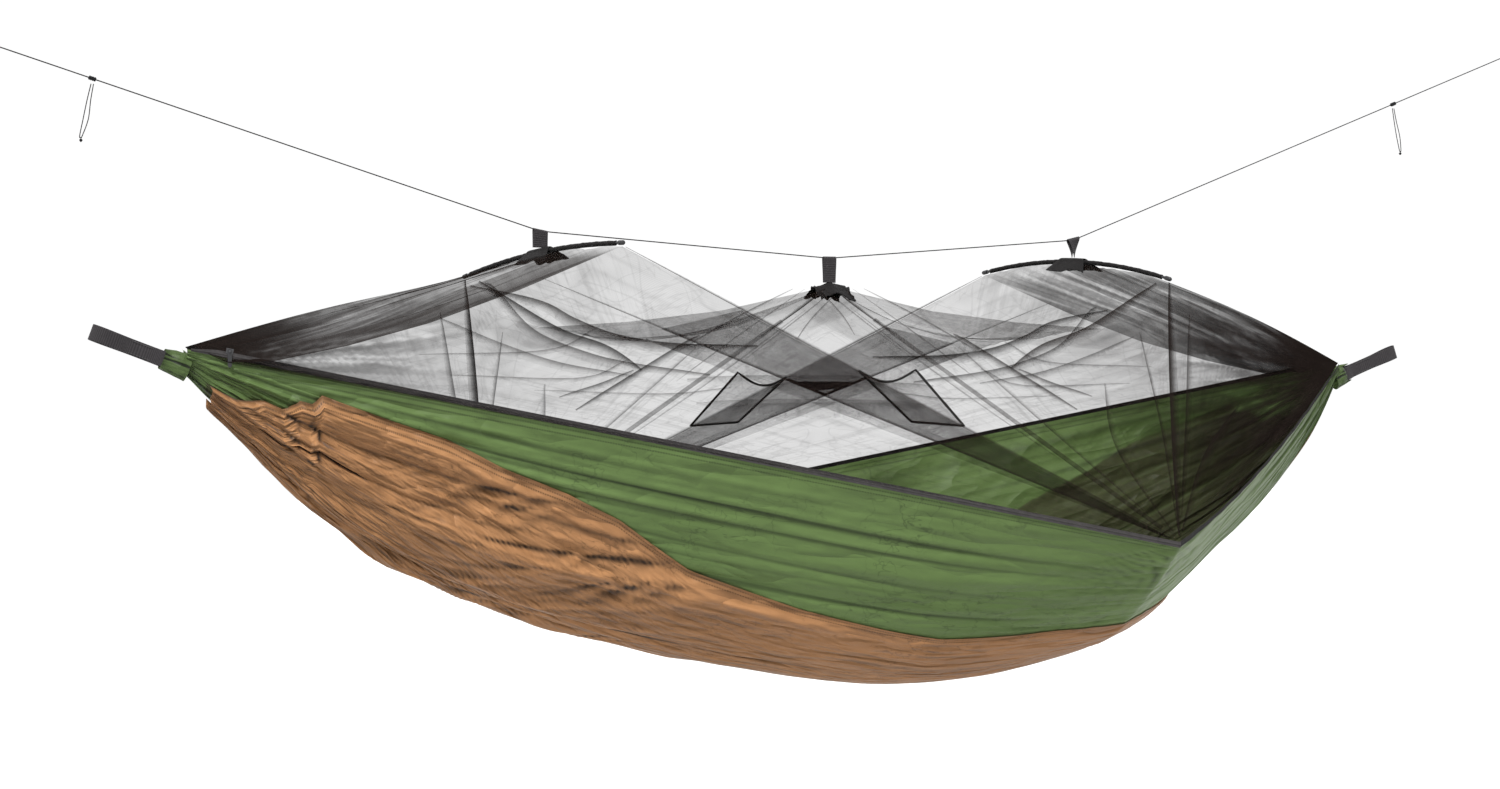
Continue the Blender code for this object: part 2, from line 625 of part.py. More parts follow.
def make_tensioner(end):
    """A gripping knot on the line, its tail of doubled cord and the knot that ends the tail."""
    centre = tensioner_centre(end)
    out = line_direction(end)
    frame = Matrix.Translation(centre) @ out.to_track_quat("Z", "X").to_matrix().to_4x4()
    bore = LINE_RADIUS + SLIP
    half = TENSIONER_LENGTH / 2
    wraps = [(TENSIONER_RADIUS - 0.0008 * abs(cos(pi * 4 * k / 16)), -half + TENSIONER_LENGTH * k / 16)
             for k in range(17)]
    turned(end + "_tensioner", wraps[::-1] + [(bore, -half), (bore, half)], frame, BLACK, steps=14)
    sign = ENDS[end]
    top = centre - UP * (hypot(half, TENSIONER_RADIUS) + TAIL_RADIUS + SLIP)
    foot = top + Vector((sign * 0.020, 0, -TAIL_LENGTH))
    gap = 0.0022
    bulge = 0.006
    down = [top + Vector((-gap, 0, 0)), top.lerp(foot, 0.3) + Vector((-gap - 0.001, 0, 0)),
            top.lerp(foot, 0.65) + Vector((-gap - 0.001, 0, 0)), foot + Vector((-gap, 0, 0.004))]
    turn = [foot + Vector((0, 0, 0.0015))]
    back = [foot + Vector((gap, 0, 0.004)), top.lerp(foot, 0.65) + Vector((bulge, 0, 0)),
            top.lerp(foot, 0.3) + Vector((gap + 0.001, 0, 0)), top + Vector((gap, 0, 0))]
    tube(end + "_tail_cord", smooth_path(down + turn + back, 4), TAIL_RADIUS, BLACK)
    knot = Matrix.Translation(foot + UP * (0.0015 - TAIL_RADIUS - 2 * FIT - 0.0003))
    drop = 0.007
    ball = [(0.0, 0.0)] + [(0.0026 * sin(pi * k / 8) + 0.0004, -drop * k / 8) for k in range(1, 8)]
    turned(end + "_tail_knot", ball + [(0.0, -drop)], knot, BLACK, steps=10)


# ---- zips ---------------------------------------------------------------------------------
def zip_frame(side, distance):
    """Local frame on the straight edge: X outwards, Y up, Z along the edge from the gather."""
    begin, corner = edge_line(side)
    along = (corner - begin).normalized()
    out = UP.cross(along).normalized() * (1 if side == "near" else 1)
    if out.y * SIDES[side] < 0:
        out = -out
    stand = along.cross(out)
    if stand.z < 0:
        stand = -stand
    frame = Matrix((out, stand, out.cross(stand))).transposed().to_4x4()
    frame.translation = begin + along * distance + stand * (ZIP_HALF + FIT + 0.0018)
    return frame


def edge_line(side):
    sign = SIDES[side]
    begin = edge_point(side, sign * (HALF_SPAN - BED_START))
    return begin, CORNER[side].copy()


def make_zip(side):
    begin, corner = edge_line(side)
    length = (corner - begin).length - 0.020
    middle = zip_frame(side, length / 2 + 0.008)
    tape, coil, gap = ZIP_TAPE_THICKNESS / 2, ZIP_COIL / 2, ZIP_GAP / 2
    for name, sign in (("upper", 1), ("lower", -1)):
        half = [(-coil, gap), (coil, gap), (coil, gap + ZIP_COIL), (tape, gap + ZIP_COIL),
                (tape, ZIP_HALF), (-tape, ZIP_HALF), (-tape, gap + ZIP_COIL), (-coil, gap + ZIP_COIL)]
        outline = [(x, y * sign) for x, y in half]
        prism("%s_zip_%s_tape" % (side, name), [outline], length / 2, middle, BLACK)
    place = zip_frame(side, SLIDER_FROM_GATHER)
    make_slider(side, place)


def make_slider(side, place):
    inside = ZIP_COIL / 2 + SLIP
    outside = inside + SLIDER_PLATE
    web, tall = SLIDER_WEB / 2, SLIDER_HEIGHT / 2
    outline = [(outside, tall), (inside, tall), (inside, web), (-inside, web), (-inside, tall),
               (-outside, tall), (-outside, -tall), (-inside, -tall), (-inside, -web),
               (inside, -web), (inside, -tall), (outside, -tall)]
    body = as_mesh(prism(side + "_zip_slider", [outline], SLIDER_LENGTH / 2, place, BLACK,
                         0.35, 0.6))
    body.data.materials.clear()
    body.data.materials.append(finish(side + "_zip_slider", BLACK, 0.35, 0.6))
    sunk = 0.0004
    turn = Matrix.Rotation(pi / 2, 4, "Y")
    for label, radius, start, stop in (
            ("pin", SLIDER_PIN_RADIUS, outside - sunk, outside + SLIDER_PIN_LENGTH),
            ("head", SLIDER_HEAD_RADIUS, outside + SLIDER_PIN_LENGTH - 0.0010,
             outside + SLIDER_PIN_LENGTH + 0.0004)):
        bpy.ops.mesh.primitive_cylinder_add(vertices=16, radius=radius, depth=stop - start)
        peg = bpy.context.object
        peg.name = "cut_%s_%s" % (side, label)
        peg.data.transform(turn)
        peg.matrix_world = place @ Matrix.Translation(Vector(((start + stop) / 2, 0, 0)))
        for home in list(peg.users_collection):
            home.objects.unlink(peg)
        CUTTERS.objects.link(peg)
        peg.hide_render = True
        peg.display_type = "WIRE"
        join = body.modifiers.new(label, "BOOLEAN")
        join.operation = "UNION"
        join.object = peg
    pin_mid = outside + (SLIDER_PIN_LENGTH - 0.0010) / 2
    hang = Matrix.Translation(place @ Vector((pin_mid, 0, 0)))
    out = (place.to_3x3() @ Vector((1, 0, 0))).normalized()
    frame = basis(hang.translation, UP.cross(out), UP - out * UP.dot(out))
    hole = arc(0, 0, SLIDER_PIN_RADIUS + SLIP, 0, 2 * pi * 11 / 12, 11)
    half = PULL_WIDTH / 2
    tab = arc(0, 0, half, 0, pi, 8) + arc(0, -PULL_LENGTH + half * 2, half * 0.9, pi, 2 * pi, 8)
    prism(side + "_zip_pull", [tab, hole], PULL_THICKNESS / 2, frame, BLACK, 0.5)


def make_hem(side, edge):
    """The bound edge of the bed that the net is sewn to, between a gather and a corner."""
    sign = SIDES[side]
    reach = HALF_SPAN - BED_START
    if edge == "short":
        places = [CORNER_ALONG + 0.012 + (reach - CORNER_ALONG - 0.012) * k / 14 for k in range(15)]
    else:
        places = [-reach + (reach + CORNER_ALONG - 0.004) * k / 2 for k in range(3)]
    lift = UP * (ZIP_HALF + FIT + 0.0018)
    rows = []
    for towards in places:
        base = edge_point(side, -sign * towards) + lift
        rows.append([base - UP * HEM_HALF, base + UP * HEM_HALF])
    sheet("%s_%s_hem" % (side, edge), rows, 0.0016, BLACK)


# ---- organiser pockets --------------------------------------------------------------------
def make_organiser(side):
    """A small net pocket with a bound rim, hung against the inside of the net by the seam."""
    away_low, seam_low, away_top, seam_top = (net_point(side, *spot)
                                              for spot in ORGANISER_LOW + ORGANISER_TOP)
    inward = (seam_top - away_low).cross(seam_low - away_top).normalized()
    if inward.z > 0:
        inward = -inward

    def place(across, rise):
        low = [a + (b - a) * across for a, b in zip(*ORGANISER_LOW)]
        top = [a + (b - a) * across for a, b in zip(*ORGANISER_TOP)]
        step, reach = (a + (b - a) * rise for a, b in zip(low, top))
        reach -= ORGANISER_DIP * rise * sin(pi * across)
        return net_point(side, step, reach) + inward * ORGANISER_STANDOFF

    rows = [[place(j / 8, k / 4) for j in range(9)] for k in range(5)]
    sheet("organiser_%s_panel" % side, rows, ORGANISER_THICKNESS, NET)
    low = [place(j / 8, 0) for j in range(9)]
    top = [place(j / 8, 1) for j in range(9)]
    rim = low + [place(1, k / 4) for k in (1, 2, 3)] + top[::-1] + [place(0, k / 4) for k in (3, 2, 1)]
    middle = sum(rim, Vector()) / len(rim)
    rim = [p + (p - middle).normalized() * (ORGANISER_BINDING / 2 + 14 * FIT) for p in rim]
    tube("organiser_%s_binding" % side, rim, ORGANISER_BINDING / 2, BLACK, closed=True, sides=1)


# ---- assembly -----------------------------------------------------------------------------
def main():
    make_bed()
    make_pocket()
    for end in ENDS:
        make_gather(end)
        make_rod(end)
        make_net_top(end)
        make_patch(end)
        make_tensioner(end)
    for side in SIDES:
        make_net_side(side)
        make_seam(side)
        make_hem(side, "short")
        make_organiser(side)
    make_zip("near")
    make_hem("far", "long")
    make_peak_patch()
    for place in LINE_AT:
        make_net_loop(place)
    make_ridgeline()


main()
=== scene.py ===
from math import cos, pi, radians, sin

import bmesh
import bpy
import numpy as np
from mathutils import Matrix, Vector


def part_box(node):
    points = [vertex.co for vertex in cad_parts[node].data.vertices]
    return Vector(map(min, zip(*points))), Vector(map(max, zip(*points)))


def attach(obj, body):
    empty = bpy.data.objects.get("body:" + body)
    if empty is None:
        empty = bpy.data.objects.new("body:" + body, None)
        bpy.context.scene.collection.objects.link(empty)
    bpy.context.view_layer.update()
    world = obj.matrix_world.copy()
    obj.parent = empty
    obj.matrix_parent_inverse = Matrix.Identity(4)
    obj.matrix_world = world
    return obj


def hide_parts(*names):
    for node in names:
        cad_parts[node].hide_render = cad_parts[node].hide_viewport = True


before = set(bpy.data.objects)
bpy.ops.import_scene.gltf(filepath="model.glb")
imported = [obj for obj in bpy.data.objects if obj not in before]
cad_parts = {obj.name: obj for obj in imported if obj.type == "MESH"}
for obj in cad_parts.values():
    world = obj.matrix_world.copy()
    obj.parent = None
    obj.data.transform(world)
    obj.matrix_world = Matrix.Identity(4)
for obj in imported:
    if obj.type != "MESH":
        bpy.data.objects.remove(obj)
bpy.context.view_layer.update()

bl_info = {
    "name": "Camping hammock with insect net",
    "version": (1, 0, 0),
    "blender": (4, 5, 0),
    "location": "3D View > Sidebar > Hammock",
    "description": "Builds a gathered-end hammock with a net, a ridgeline and a mat pocket",
    "category": "Object",
}


# ---- places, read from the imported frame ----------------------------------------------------
def middle_of(node):
    low, high = (np.array(corner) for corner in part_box(node))
    return (low + high) / 2


CORE = {end: middle_of(end + "_gather_core") for end in ("head", "foot")}
MIDDLE = (CORE["head"] + CORE["foot"]) / 2
HALF_SPAN = (CORE["foot"][0] - CORE["head"][0]) / 2
SIDES = {"near": -1, "far": 1}
ENDS = {"head": -1, "foot": 1}
BED_START = 0.030
REACH = HALF_SPAN - BED_START
CORNER_ALONG, CORNER_OUT, CORNER_DROP = 0.534, 0.485, 0.352
EDGE_SAG = 0.034
GATHER_HALF_WIDTH, GATHER_HALF_HEIGHT = 0.016, 0.024
KEEL_DEPTH, KEEL_SHIFT, KEEL_SIDEWAYS = 0.625, 0.29, 0.30
ROD_ALONG, ROD_HALF, ROD_SKEW = 0.608, 0.283, radians(9.8)
ROD_END_HEIGHT, ROD_TILT = 0.201, 0.019
ROD_ARCH = {"head": 0.016, "foot": 0.030}
SLEEVE_RADIUS = 0.0052
NET_PEAK = np.array((0.022, 0.0, 0.165))
SEAM_OVER_EDGE = {"near": 0.0088, "far": 0.0085}
LOOP_RISE = radians(20.0)
LINE_OVER = {"head": 0.257, "middle": 0.222, "foot": 0.276}
LINE_RISE = {"head": 0.285, "foot": 0.388}
LINE_REACH = {"head": 1.700, "foot": 1.850}
TENSIONER_AT = {"head": 1.468, "foot": 1.467}
POINTS_ON_CURVE = 12


def rows(*columns):
    """One (n, 3) array from three columns, any of which may be a single number."""
    wide = np.broadcast_arrays(*[np.asarray(c, float) for c in columns])
    return np.stack([c.ravel() for c in wide], axis=1)


def smooth(points, steps=POINTS_ON_CURVE):
    """A smooth curve through route points (Catmull-Rom)."""
    p = np.asarray(points, float)
    p = np.vstack([2 * p[0] - p[1], p, 2 * p[-1] - p[-2]])
    t = np.linspace(0, 1, steps, endpoint=False)[:, None]
    spans = [0.5 * (2 * b + (c - a) * t + (2 * a - 5 * b + 4 * c - d) * t * t
                    + (3 * b - a - 3 * c + d) * t ** 3)
             for a, b, c, d in zip(p, p[1:], p[2:], p[3:])]
    return np.vstack(spans + [p[-2:-1]])


def ease(t):
    t = np.clip(t, 0, 1)
    return t * t * (3 - 2 * t)


KEEL = smooth([(-REACH, -GATHER_HALF_HEIGHT), (-0.93 * REACH, -0.17 * KEEL_DEPTH),
               (-0.71 * REACH, -0.53 * KEEL_DEPTH), (-0.42 * REACH, -0.79 * KEEL_DEPTH),
               (-0.02 * REACH, -0.985 * KEEL_DEPTH), (KEEL_SHIFT, -KEEL_DEPTH),
               (0.48 * REACH, -0.87 * KEEL_DEPTH), (0.64 * REACH, -0.68 * KEEL_DEPTH),
               (0.80 * REACH, -0.48 * KEEL_DEPTH), (0.93 * REACH, -0.24 * KEEL_DEPTH),
               (REACH, -GATHER_HALF_HEIGHT)])


def edge(side, along):
    """The bed's side edge, from the middle of the span."""
    sign = SIDES[side]
    along = np.asarray(along, float)
    towards = -sign * along
    long_share = (towards + REACH) / (CORNER_ALONG + REACH)
    short_share = (REACH - towards) / (REACH - CORNER_ALONG)
    share = np.where(towards <= CORNER_ALONG, long_share, short_share)
    slack = np.where(towards <= CORNER_ALONG, 0, 4 * EDGE_SAG * share * (1 - share))
    out = GATHER_HALF_WIDTH + (CORNER_OUT - GATHER_HALF_WIDTH) * share
    top = GATHER_HALF_HEIGHT * 0.9
    return rows(along, sign * out, top - (CORNER_DROP + top) * share - slack)


def bed(along, share, lift=0.0):
    """Places on the bed; share runs from the near edge, 0, round to the far edge, 1."""
    near, far = edge("near", along), edge("far", along)
    keel_y = KEEL_SIDEWAYS * (near[:, 1] + far[:, 1])
    keel_z = np.interp(along, KEEL[:, 0], KEEL[:, 1])
    is_far = share >= 0.5
    side = np.where(is_far, 1, -1)
    rim = np.where(is_far[:, None], far, near)
    reach = np.abs(1 - 2 * share)
    width, depth = rim[:, 1] - keel_y, rim[:, 2] - keel_z
    place = rows(along, keel_y + width * reach, rim[:, 2] - depth * (1 - reach ** 2))
    normal = rows(np.zeros_like(along), side * 2 * depth * reach, -np.abs(width))
    normal /= np.linalg.norm(normal, axis=1)[:, None]
    return place + normal * np.asarray(lift).reshape(-1, 1)


def girth(along):
    """Length of cloth round the bed, roughly, at a place along it."""
    near, far = edge("near", along), edge("far", along)
    drop = np.interp(along, KEEL[:, 0], KEEL[:, 1])
    half = (far[:, 1] - near[:, 1]) / 2
    deep = (near[:, 2] + far[:, 2]) / 2 - drop
    return 2 * np.sqrt(half ** 2 + 1.25 * deep ** 2)


def rod(end, across):
    """A spreader rod's line, from -1 at its near end to 1 at its far end."""
    sign = ENDS[end]
    across = np.asarray(across, float)
    return rows(sign * ROD_ALONG - across * ROD_HALF * sin(ROD_SKEW),
                across * ROD_HALF * cos(ROD_SKEW),
                ROD_END_HEIGHT + sign * across * ROD_TILT + ROD_ARCH[end] * (1 - across ** 2))


def chance(seed, i, j):
    """A steady random number from 0 to 1 for each pair of whole numbers."""
    mixed = np.sin(i * 127.1 + j * 311.7 + seed * 74.7) * 43758.5453
    return mixed - np.floor(mixed)


def drift(seed, x, y):
    """A soft random height from 0 to 1."""
    i, j = np.floor(x), np.floor(y)
    a, b = ease(x - i), ease(y - j)
    low = chance(seed, i, j) * (1 - a) + chance(seed, i + 1, j) * a
    high = chance(seed, i, j + 1) * (1 - a) + chance(seed, i + 1, j + 1) * a
    return low * (1 - b) + high * b


def crumple(seed, x, y):
    """Crumpled cloth: soft hollows that meet in sharp ridges, from 0 to 1."""
    total = 0
    for k, share in enumerate((0.55, 0.29, 0.16)):
        size = 2 ** k
        shift = drift(seed + 9 + k, x * 0.7 * size, y * 0.7 * size)
        total = total + share * (1 - np.abs(2 * drift(seed + k, x * size + shift * 1.4,
                                                      y * size + shift) - 1))
    return total


def hollow(height, reach=(0.0026, 0.0046), depth=0.0015):
    """How far cloth lies below what is round it, from -1 on ridges to 1 in creases."""
    def made(u, v):
        near = [height(np.clip(u + a, 0, 1), np.clip(v + b, 0, 1))
                for a, b in ((reach[0], 0), (-reach[0], 0), (0, reach[1]), (0, -reach[1]))]
        return np.clip((sum(near) / 4 - height(u, v)) / depth, -1, 1)
    return made


class Pleats:
    """Folds that start at one gather and fade out along the cloth."""

    def __init__(self, seed, count, width, length, height, band=(0.0, 1.0), slant=0.0, power=1.5):
        draw = np.random.default_rng(seed)
        self.centre = draw.uniform(*band, count)
        self.width = draw.uniform(*width, count)
        self.length = draw.uniform(*length, count)
        self.tall = draw.uniform(*height, count) * draw.choice((-1, 1), count, p=(0.45, 0.55))
        self.slant = draw.uniform(-slant, slant, count)
        self.power = power

    def height(self, distance, share, around):
        total = np.zeros_like(distance)
        for c, w, reach, tall, slant in zip(self.centre, self.width, self.length, self.tall,
                                            self.slant):
            away = np.abs((share - c - slant * distance) / w) ** self.power
            room = np.minimum(abs(tall), 0.8 * w * around)
            fade = np.clip(1 - distance / reach, 0, 1) ** 1.1
            total += np.sign(tall) * room * fade * np.exp(-away)
        return total


# ---- finishes ------------------------------------------------------------------------------
class Wire:
    """A socket that Python arithmetic adds Math nodes to."""

    def __init__(self, finish, socket):
        self.finish, self.socket = finish, socket

    def math(self, operation, *others):
        values = dict(enumerate((self,) + others))
        return self.finish.node("ShaderNodeMath", {"operation": operation}, values)

    def flipped(self, operation, other):
        return self.finish.node("ShaderNodeMath", {"operation": operation}, {0: other, 1: self})

    def __add__(self, other):
        return self.math("ADD", other)

    def __mul__(self, other):
        return self.math("MULTIPLY", other)

    def __sub__(self, other):
        return self.math("SUBTRACT", other)

    def __rsub__(self, other):
        return self.flipped("SUBTRACT", other)

    def __truediv__(self, other):
        return self.math("DIVIDE", other)

    def __lt__(self, other):
        return self.math("LESS_THAN", other)

    def __gt__(self, other):
        return self.math("GREATER_THAN", other)

    __radd__ = __add__
    __rmul__ = __mul__


class Finish:
    """A node material: constants go on the shader, patterns come in through nodes."""

    def __init__(self, name, **constants):
        self.material = bpy.data.materials.new(name)
        self.material.use_nodes = True
        self.tree = self.material.node_tree
        self.shader = self.tree.nodes["Principled BSDF"]
        for key, value in constants.items():
            self.shader.inputs[key.replace("_", " ")].default_value = value
        self.material.diffuse_color = (*constants.get("Base_Color", (0.1, 0.1, 0.1, 1))[:3], 1)

    def node(self, kind, settings=(), sockets=(), out=0):
        made = self.tree.nodes.new(kind)
        settings = dict(settings)
        stops = settings.pop("stops", None)
        for key, value in settings.items():
            setattr(made, key, value)
        if stops:
            for element, (place, value) in zip(made.color_ramp.elements, stops):
                element.position, element.color = place, (value, value, value, 1)
        for key, value in dict(sockets).items():
            self.feed(made.inputs[key], value)
        return Wire(self, made.outputs[out])

    def feed(self, socket, value):
        if isinstance(value, Wire):
            self.tree.links.new(value.socket, socket)
        else:
            socket.default_value = value

    def paint(self, name, value):
        self.feed(self.shader.inputs[name], value)

    def split(self, vector):
        apart = self.tree.nodes.new("ShaderNodeSeparateXYZ")
        self.feed(apart.inputs[0], vector)
        return [Wire(self, output) for output in apart.outputs]

    def place(self):
        return self.node("ShaderNodeTexCoord", out="Object")

    def cloth(self):
        return self.node("ShaderNodeUVMap", {"uv_map": "cloth"})

    def value_of(self, name):
        return self.node("ShaderNodeAttribute", {"attribute_name": name}, out="Fac")

    def stretched(self, vector, *scale):
        return self.node("ShaderNodeVectorMath", {"operation": "MULTIPLY"}, {0: vector, 1: scale})

    def noise(self, vector, scale, detail=2.0, rough=0.5):
        return self.node("ShaderNodeTexNoise", {}, {"Vector": vector, "Scale": scale,
                                                    "Detail": detail, "Roughness": rough})

    def vein(self, vector, scale, detail, rough):
        """0 along thin wandering lines, more away from them."""
        return (self.noise(vector, scale, detail, rough) - 0.5).math("ABSOLUTE")

    def ramp(self, factor, low, high):
        return self.node("ShaderNodeValToRGB", {"stops": ((low, 0.0), (high, 1.0))}, {0: factor})

    def mix(self, factor, first, second):
        return self.node("ShaderNodeMix", {"data_type": "RGBA"},
                         {"Factor": factor, 6: first, 7: second}, out=2)

    def wave(self, value, period):
        """A sine along a length in metres."""
        return (value * (2 * pi / period)).math("SINE")

    def bump(self, height, strength, distance, normal=None):
        sockets = {"Height": height, "Strength": strength, "Distance": distance}
        if normal:
            sockets["Normal"] = normal
        return self.node("ShaderNodeBump", {}, sockets)


def rgba(colour, strength=1.0):
    """A colour with its alpha, made darker or lighter."""
    return (*[c * strength for c in colour[:3]], 1.0)


def nylon(name, light, dark, pocket_shade=None, crumpled=0.24):
    """Plain-woven nylon: fine crinkles, a soft gloss, painted shade in its creases and painted highlights
    on its ridges, stitch rows by its rims.
    """
    f = Finish(name, Base_Color=rgba(light), Sheen_Weight=0.04)
    f.shader.inputs["Specular IOR Level"].default_value = 0.16
    cloth = f.cloth()
    along, across, _ = f.split(cloth)
    # Painted light and shade: the lit and shaded colours are mixed in soft random streaks.
    broad = f.ramp(f.noise(f.stretched(cloth, 1.2, 5.0, 1.0), 2.2, 2.0, 0.5), 0.32, 0.72)
    fine = f.noise(f.stretched(cloth, 6.0, 9.0, 1.0), 5.0, 5.0, 0.62)
    colour = f.mix(broad * 0.9 + fine * 0.1, rgba(dark), rgba(light))
    # Painted shade: thin dark lines in patches stand in for the shade in the cloth's fine crinkles.
    line_a = f.vein(f.stretched(cloth, 2.2, 8.0, 1.0), 2.6, 3.0, 0.6) < 0.006
    line_b = f.vein(f.stretched(cloth, 8.0, 5.0, 1.0), 2.1, 3.0, 0.6) < 0.005
    patchy = f.ramp(f.noise(cloth, 6.0, 2.0, 0.5), 0.45, 0.6)
    lines = (line_a + line_b).math("MINIMUM", 1.0) * patchy * (0.45 + 0.3 * crumpled)
    colour = f.mix(lines, colour, rgba(dark, 0.3))
    # Painted shade: over the mat pocket the bed's inside takes a darker, browner colour, standing in for
    # the light that the pocket behind keeps from coming through.
    if pocket_shade:
        colour = f.mix(f.value_of("pocket_shade"), colour, rgba(pocket_shade))
    # Painted light and shade: this attribute paints ridges lighter as highlights and creases near black as
    # shade.
    fold_shading = f.value_of("fold_shading")
    colour = f.mix((fold_shading * -0.42).math("MAXIMUM", 0.0), colour, rgba(light, 1.7))
    colour = f.mix((fold_shading * 1.2).math("MAXIMUM", 0.0), colour, rgba(dark, 0.08))
    rim = f.value_of("rim")
    row_a = (rim - 0.0050).math("ABSOLUTE") < 0.0009
    row_b = (rim - 0.0105).math("ABSOLUTE") < 0.0009
    stitch = (row_a + row_b) * (f.wave(along, 0.0042) > -0.25)
    colour = f.mix(stitch * 0.8, colour, rgba(dark, 0.25))
    f.paint("Base Color", colour)
    f.paint("Roughness", fine * 0.25 + 0.34)
    weave = f.wave(along, 0.0009) * f.wave(across, 0.0009)
    ridge = 1 - f.ramp(f.vein(f.stretched(cloth, 4.0, 7.0, 1.0), 2.0, 2.0, 0.45), 0.0, 0.16)
    ripple = 1 - f.ramp(f.vein(f.stretched(cloth, 1.4, 7.5, 1.0), 2.0, 1.2, 0.45), 0.0, 0.20)
    height = (ripple * 0.0075 + ridge * (0.0190 * crumpled) + fine * (0.0005 * crumpled)
              + weave * 0.00003 - stitch * 0.0005)
    f.paint("Normal", f.bump(height, 1.0, 1.0))
    out = f.tree.nodes["Material Output"]
    glow = f.node("ShaderNodeBsdfTranslucent", {}, {"Color": rgba(light, 1.4)})
    both = f.node("ShaderNodeMixShader", {}, {0: 0.18, 1: Wire(f, f.shader.outputs[0]), 2: glow})
    f.tree.links.new(both.socket, out.inputs["Surface"])
    return f.material


def netting(name, colour, cover):
    """Fine knitted net: the cloth's crowding darkens it, its holes let light through."""
    f = Finish(name, Base_Color=rgba(colour), Roughness=0.85)
    f.shader.inputs["Specular IOR Level"].default_value = 0.0
    cloth = f.cloth()
    along, across, _ = f.split(cloth)
    cell = 0.0016
    hexes = (f.wave(along + across * 0.58, cell) + f.wave(along - across * 0.58, cell)
             + f.wave(across * 1.15, cell)) / 3
    threads = f.ramp(hexes * 0.5 + 0.5, 0.25, 0.85)
    drift = f.noise(f.stretched(cloth, 3.0, 9.0, 1.0), 2.0, 3.0, 0.55)
    wavy = f.vein(f.stretched(cloth, 1.6, 9.0, 1.0), 2.2, 3.0, 0.6)
    upright = f.vein(f.stretched(cloth, 7.0, 1.3, 1.0), 1.7, 3.0, 0.55)
    lines = (1 - f.ramp(wavy, 0.0, 0.012)) * 0.6 + (1 - f.ramp(upright, 0.0, 0.013)) * 0.7
    haze = f.ramp(f.noise(f.stretched(cloth, 2.0, 5.0, 1.0), 1.6, 4.0, 0.6), 0.35, 0.75)
    crowd = f.value_of("crowd")
    layers = crowd * (0.68 + drift * 0.2 + haze * 0.38) * (0.62 + threads * 0.76) + lines
    through = f.node("ShaderNodeMath", {"operation": "POWER"}, {0: 1.0 - cover, 1: layers})
    f.paint("Alpha", 1 - through)
    f.paint("Base Color", f.mix(drift, rgba(colour, 0.6), rgba(colour, 1.5)))
    f.paint("Normal", f.bump(drift * 0.004 + threads * 0.0002, 0.5, 1.0))
    return f.material


def webbing(name, colour, rib=0.0040):
    """Ribbed polyester webbing, ribs along its length, picks across."""
    f = Finish(name, Base_Color=rgba(colour), Sheen_Weight=0.03)
    f.shader.inputs["Specular IOR Level"].default_value = 0.12
    cloth = f.cloth()
    along, across, _ = f.split(cloth)
    ribs = f.wave(across, rib)
    picks = f.wave(along + (ribs > 0.0) * 0.0014, 0.0028)
    wear = f.noise(f.stretched(cloth, 40.0, 60.0, 1.0), 3.0, 4.0, 0.6)
    shade = picks * ribs * 0.30 + 0.25 + wear * 0.5
    f.paint("Base Color", f.mix(shade, rgba(colour, 0.35), rgba(colour, 2.2)))
    f.paint("Roughness", wear * 0.2 + 0.5)
    f.paint("Normal", f.bump(ribs * picks * 0.0003 + wear * 0.0003, 0.9, 1.0))
    return f.material


def twill(name, colour, scale=1.0, rough=0.7):
    """Narrow woven tape and black fabric, read from the piece's own place."""
    f = Finish(name, Base_Color=rgba(colour), Sheen_Weight=0.02)
    f.shader.inputs["Specular IOR Level"].default_value = 0.08
    place = f.place()
    x, y, z = f.split(place)
    diagonal = f.wave(x + y * 0.7 + z, 0.0016 * scale)
    counter = f.wave(x * 0.8 - z * 1.1 + y, 0.0021 * scale)
    wear = f.noise(place, 55.0 / scale, 4.0, 0.6)
    shade = diagonal * 0.12 + counter * 0.1 + wear * 0.7 + 0.1
    f.paint("Base Color", f.mix(shade, rgba(colour, 0.5), rgba(colour, 1.9)))
    f.paint("Roughness", wear * 0.25 + rough - 0.12)
    f.paint("Normal", f.bump(diagonal * 0.00012 + counter * 0.0001 + wear * 0.0008, 0.7, 1.0))
    return f.material


def braid(name, colour):
    """Braided cord: two families of strands that cross."""
    f = Finish(name, Base_Color=rgba(colour), Roughness=0.6)
    f.shader.inputs["Specular IOR Level"].default_value = 0.08
    x, y, z = f.split(f.place())
    right = f.wave(x + z * 0.9 + y, 0.0018)
    left = f.wave(x - z * 0.9 - y, 0.0018)
    strands = right.math("MAXIMUM", left)
    f.paint("Base Color", f.mix(strands * 0.5 + 0.5, rgba(colour, 0.4),
                                rgba(colour, 1.8)))
    f.paint("Normal", f.bump(strands * 0.0002, 0.8, 1.0))
    return f.material


def hard(name, colour, rough, metal=0.0, coat=0.0, grain=180.0, depth=0.00012):
    """Moulded plastic or painted metal with fine scuffs."""
    f = Finish(name, Base_Color=rgba(colour), Metallic=metal, Coat_Weight=coat)
    f.shader.inputs["Specular IOR Level"].default_value = 0.2
    place = f.place()
    scuffs = f.noise(place, grain, 4.0, 0.65)
    streaks = f.noise(f.stretched(place, 6.0, 1.0, 6.0), 60.0, 3.0, 0.5)
    f.paint("Base Color", f.mix(scuffs, rgba(colour, 0.7), rgba(colour, 1.4)))
    f.paint("Roughness", streaks * 0.2 + rough - 0.08)
    f.paint("Normal", f.bump(scuffs * depth, 0.6, 1.0))
    return f.material


def zip_tape(name, colour):
    """Zip tape with its coil's turns along the free edge."""
    f = Finish(name, Base_Color=rgba(colour), Roughness=0.6)
    f.shader.inputs["Specular IOR Level"].default_value = 0.1
    place = f.place()
    x, y, z = f.split(place)
    turns = f.wave(x, 0.0022)
    weave = f.wave(z * 1.2 + x * 0.4, 0.0011)
    wear = f.noise(place, 90.0, 3.0, 0.5)
    f.paint("Base Color", f.mix(turns * 0.25 + wear * 0.5 + 0.12, rgba(colour, 0.5),
                                rgba(colour, 2.2)))
    f.paint("Normal", f.bump(turns * 0.0003 + weave * 0.0001, 0.8, 1.0))
    return f.material


FINISHES = {}


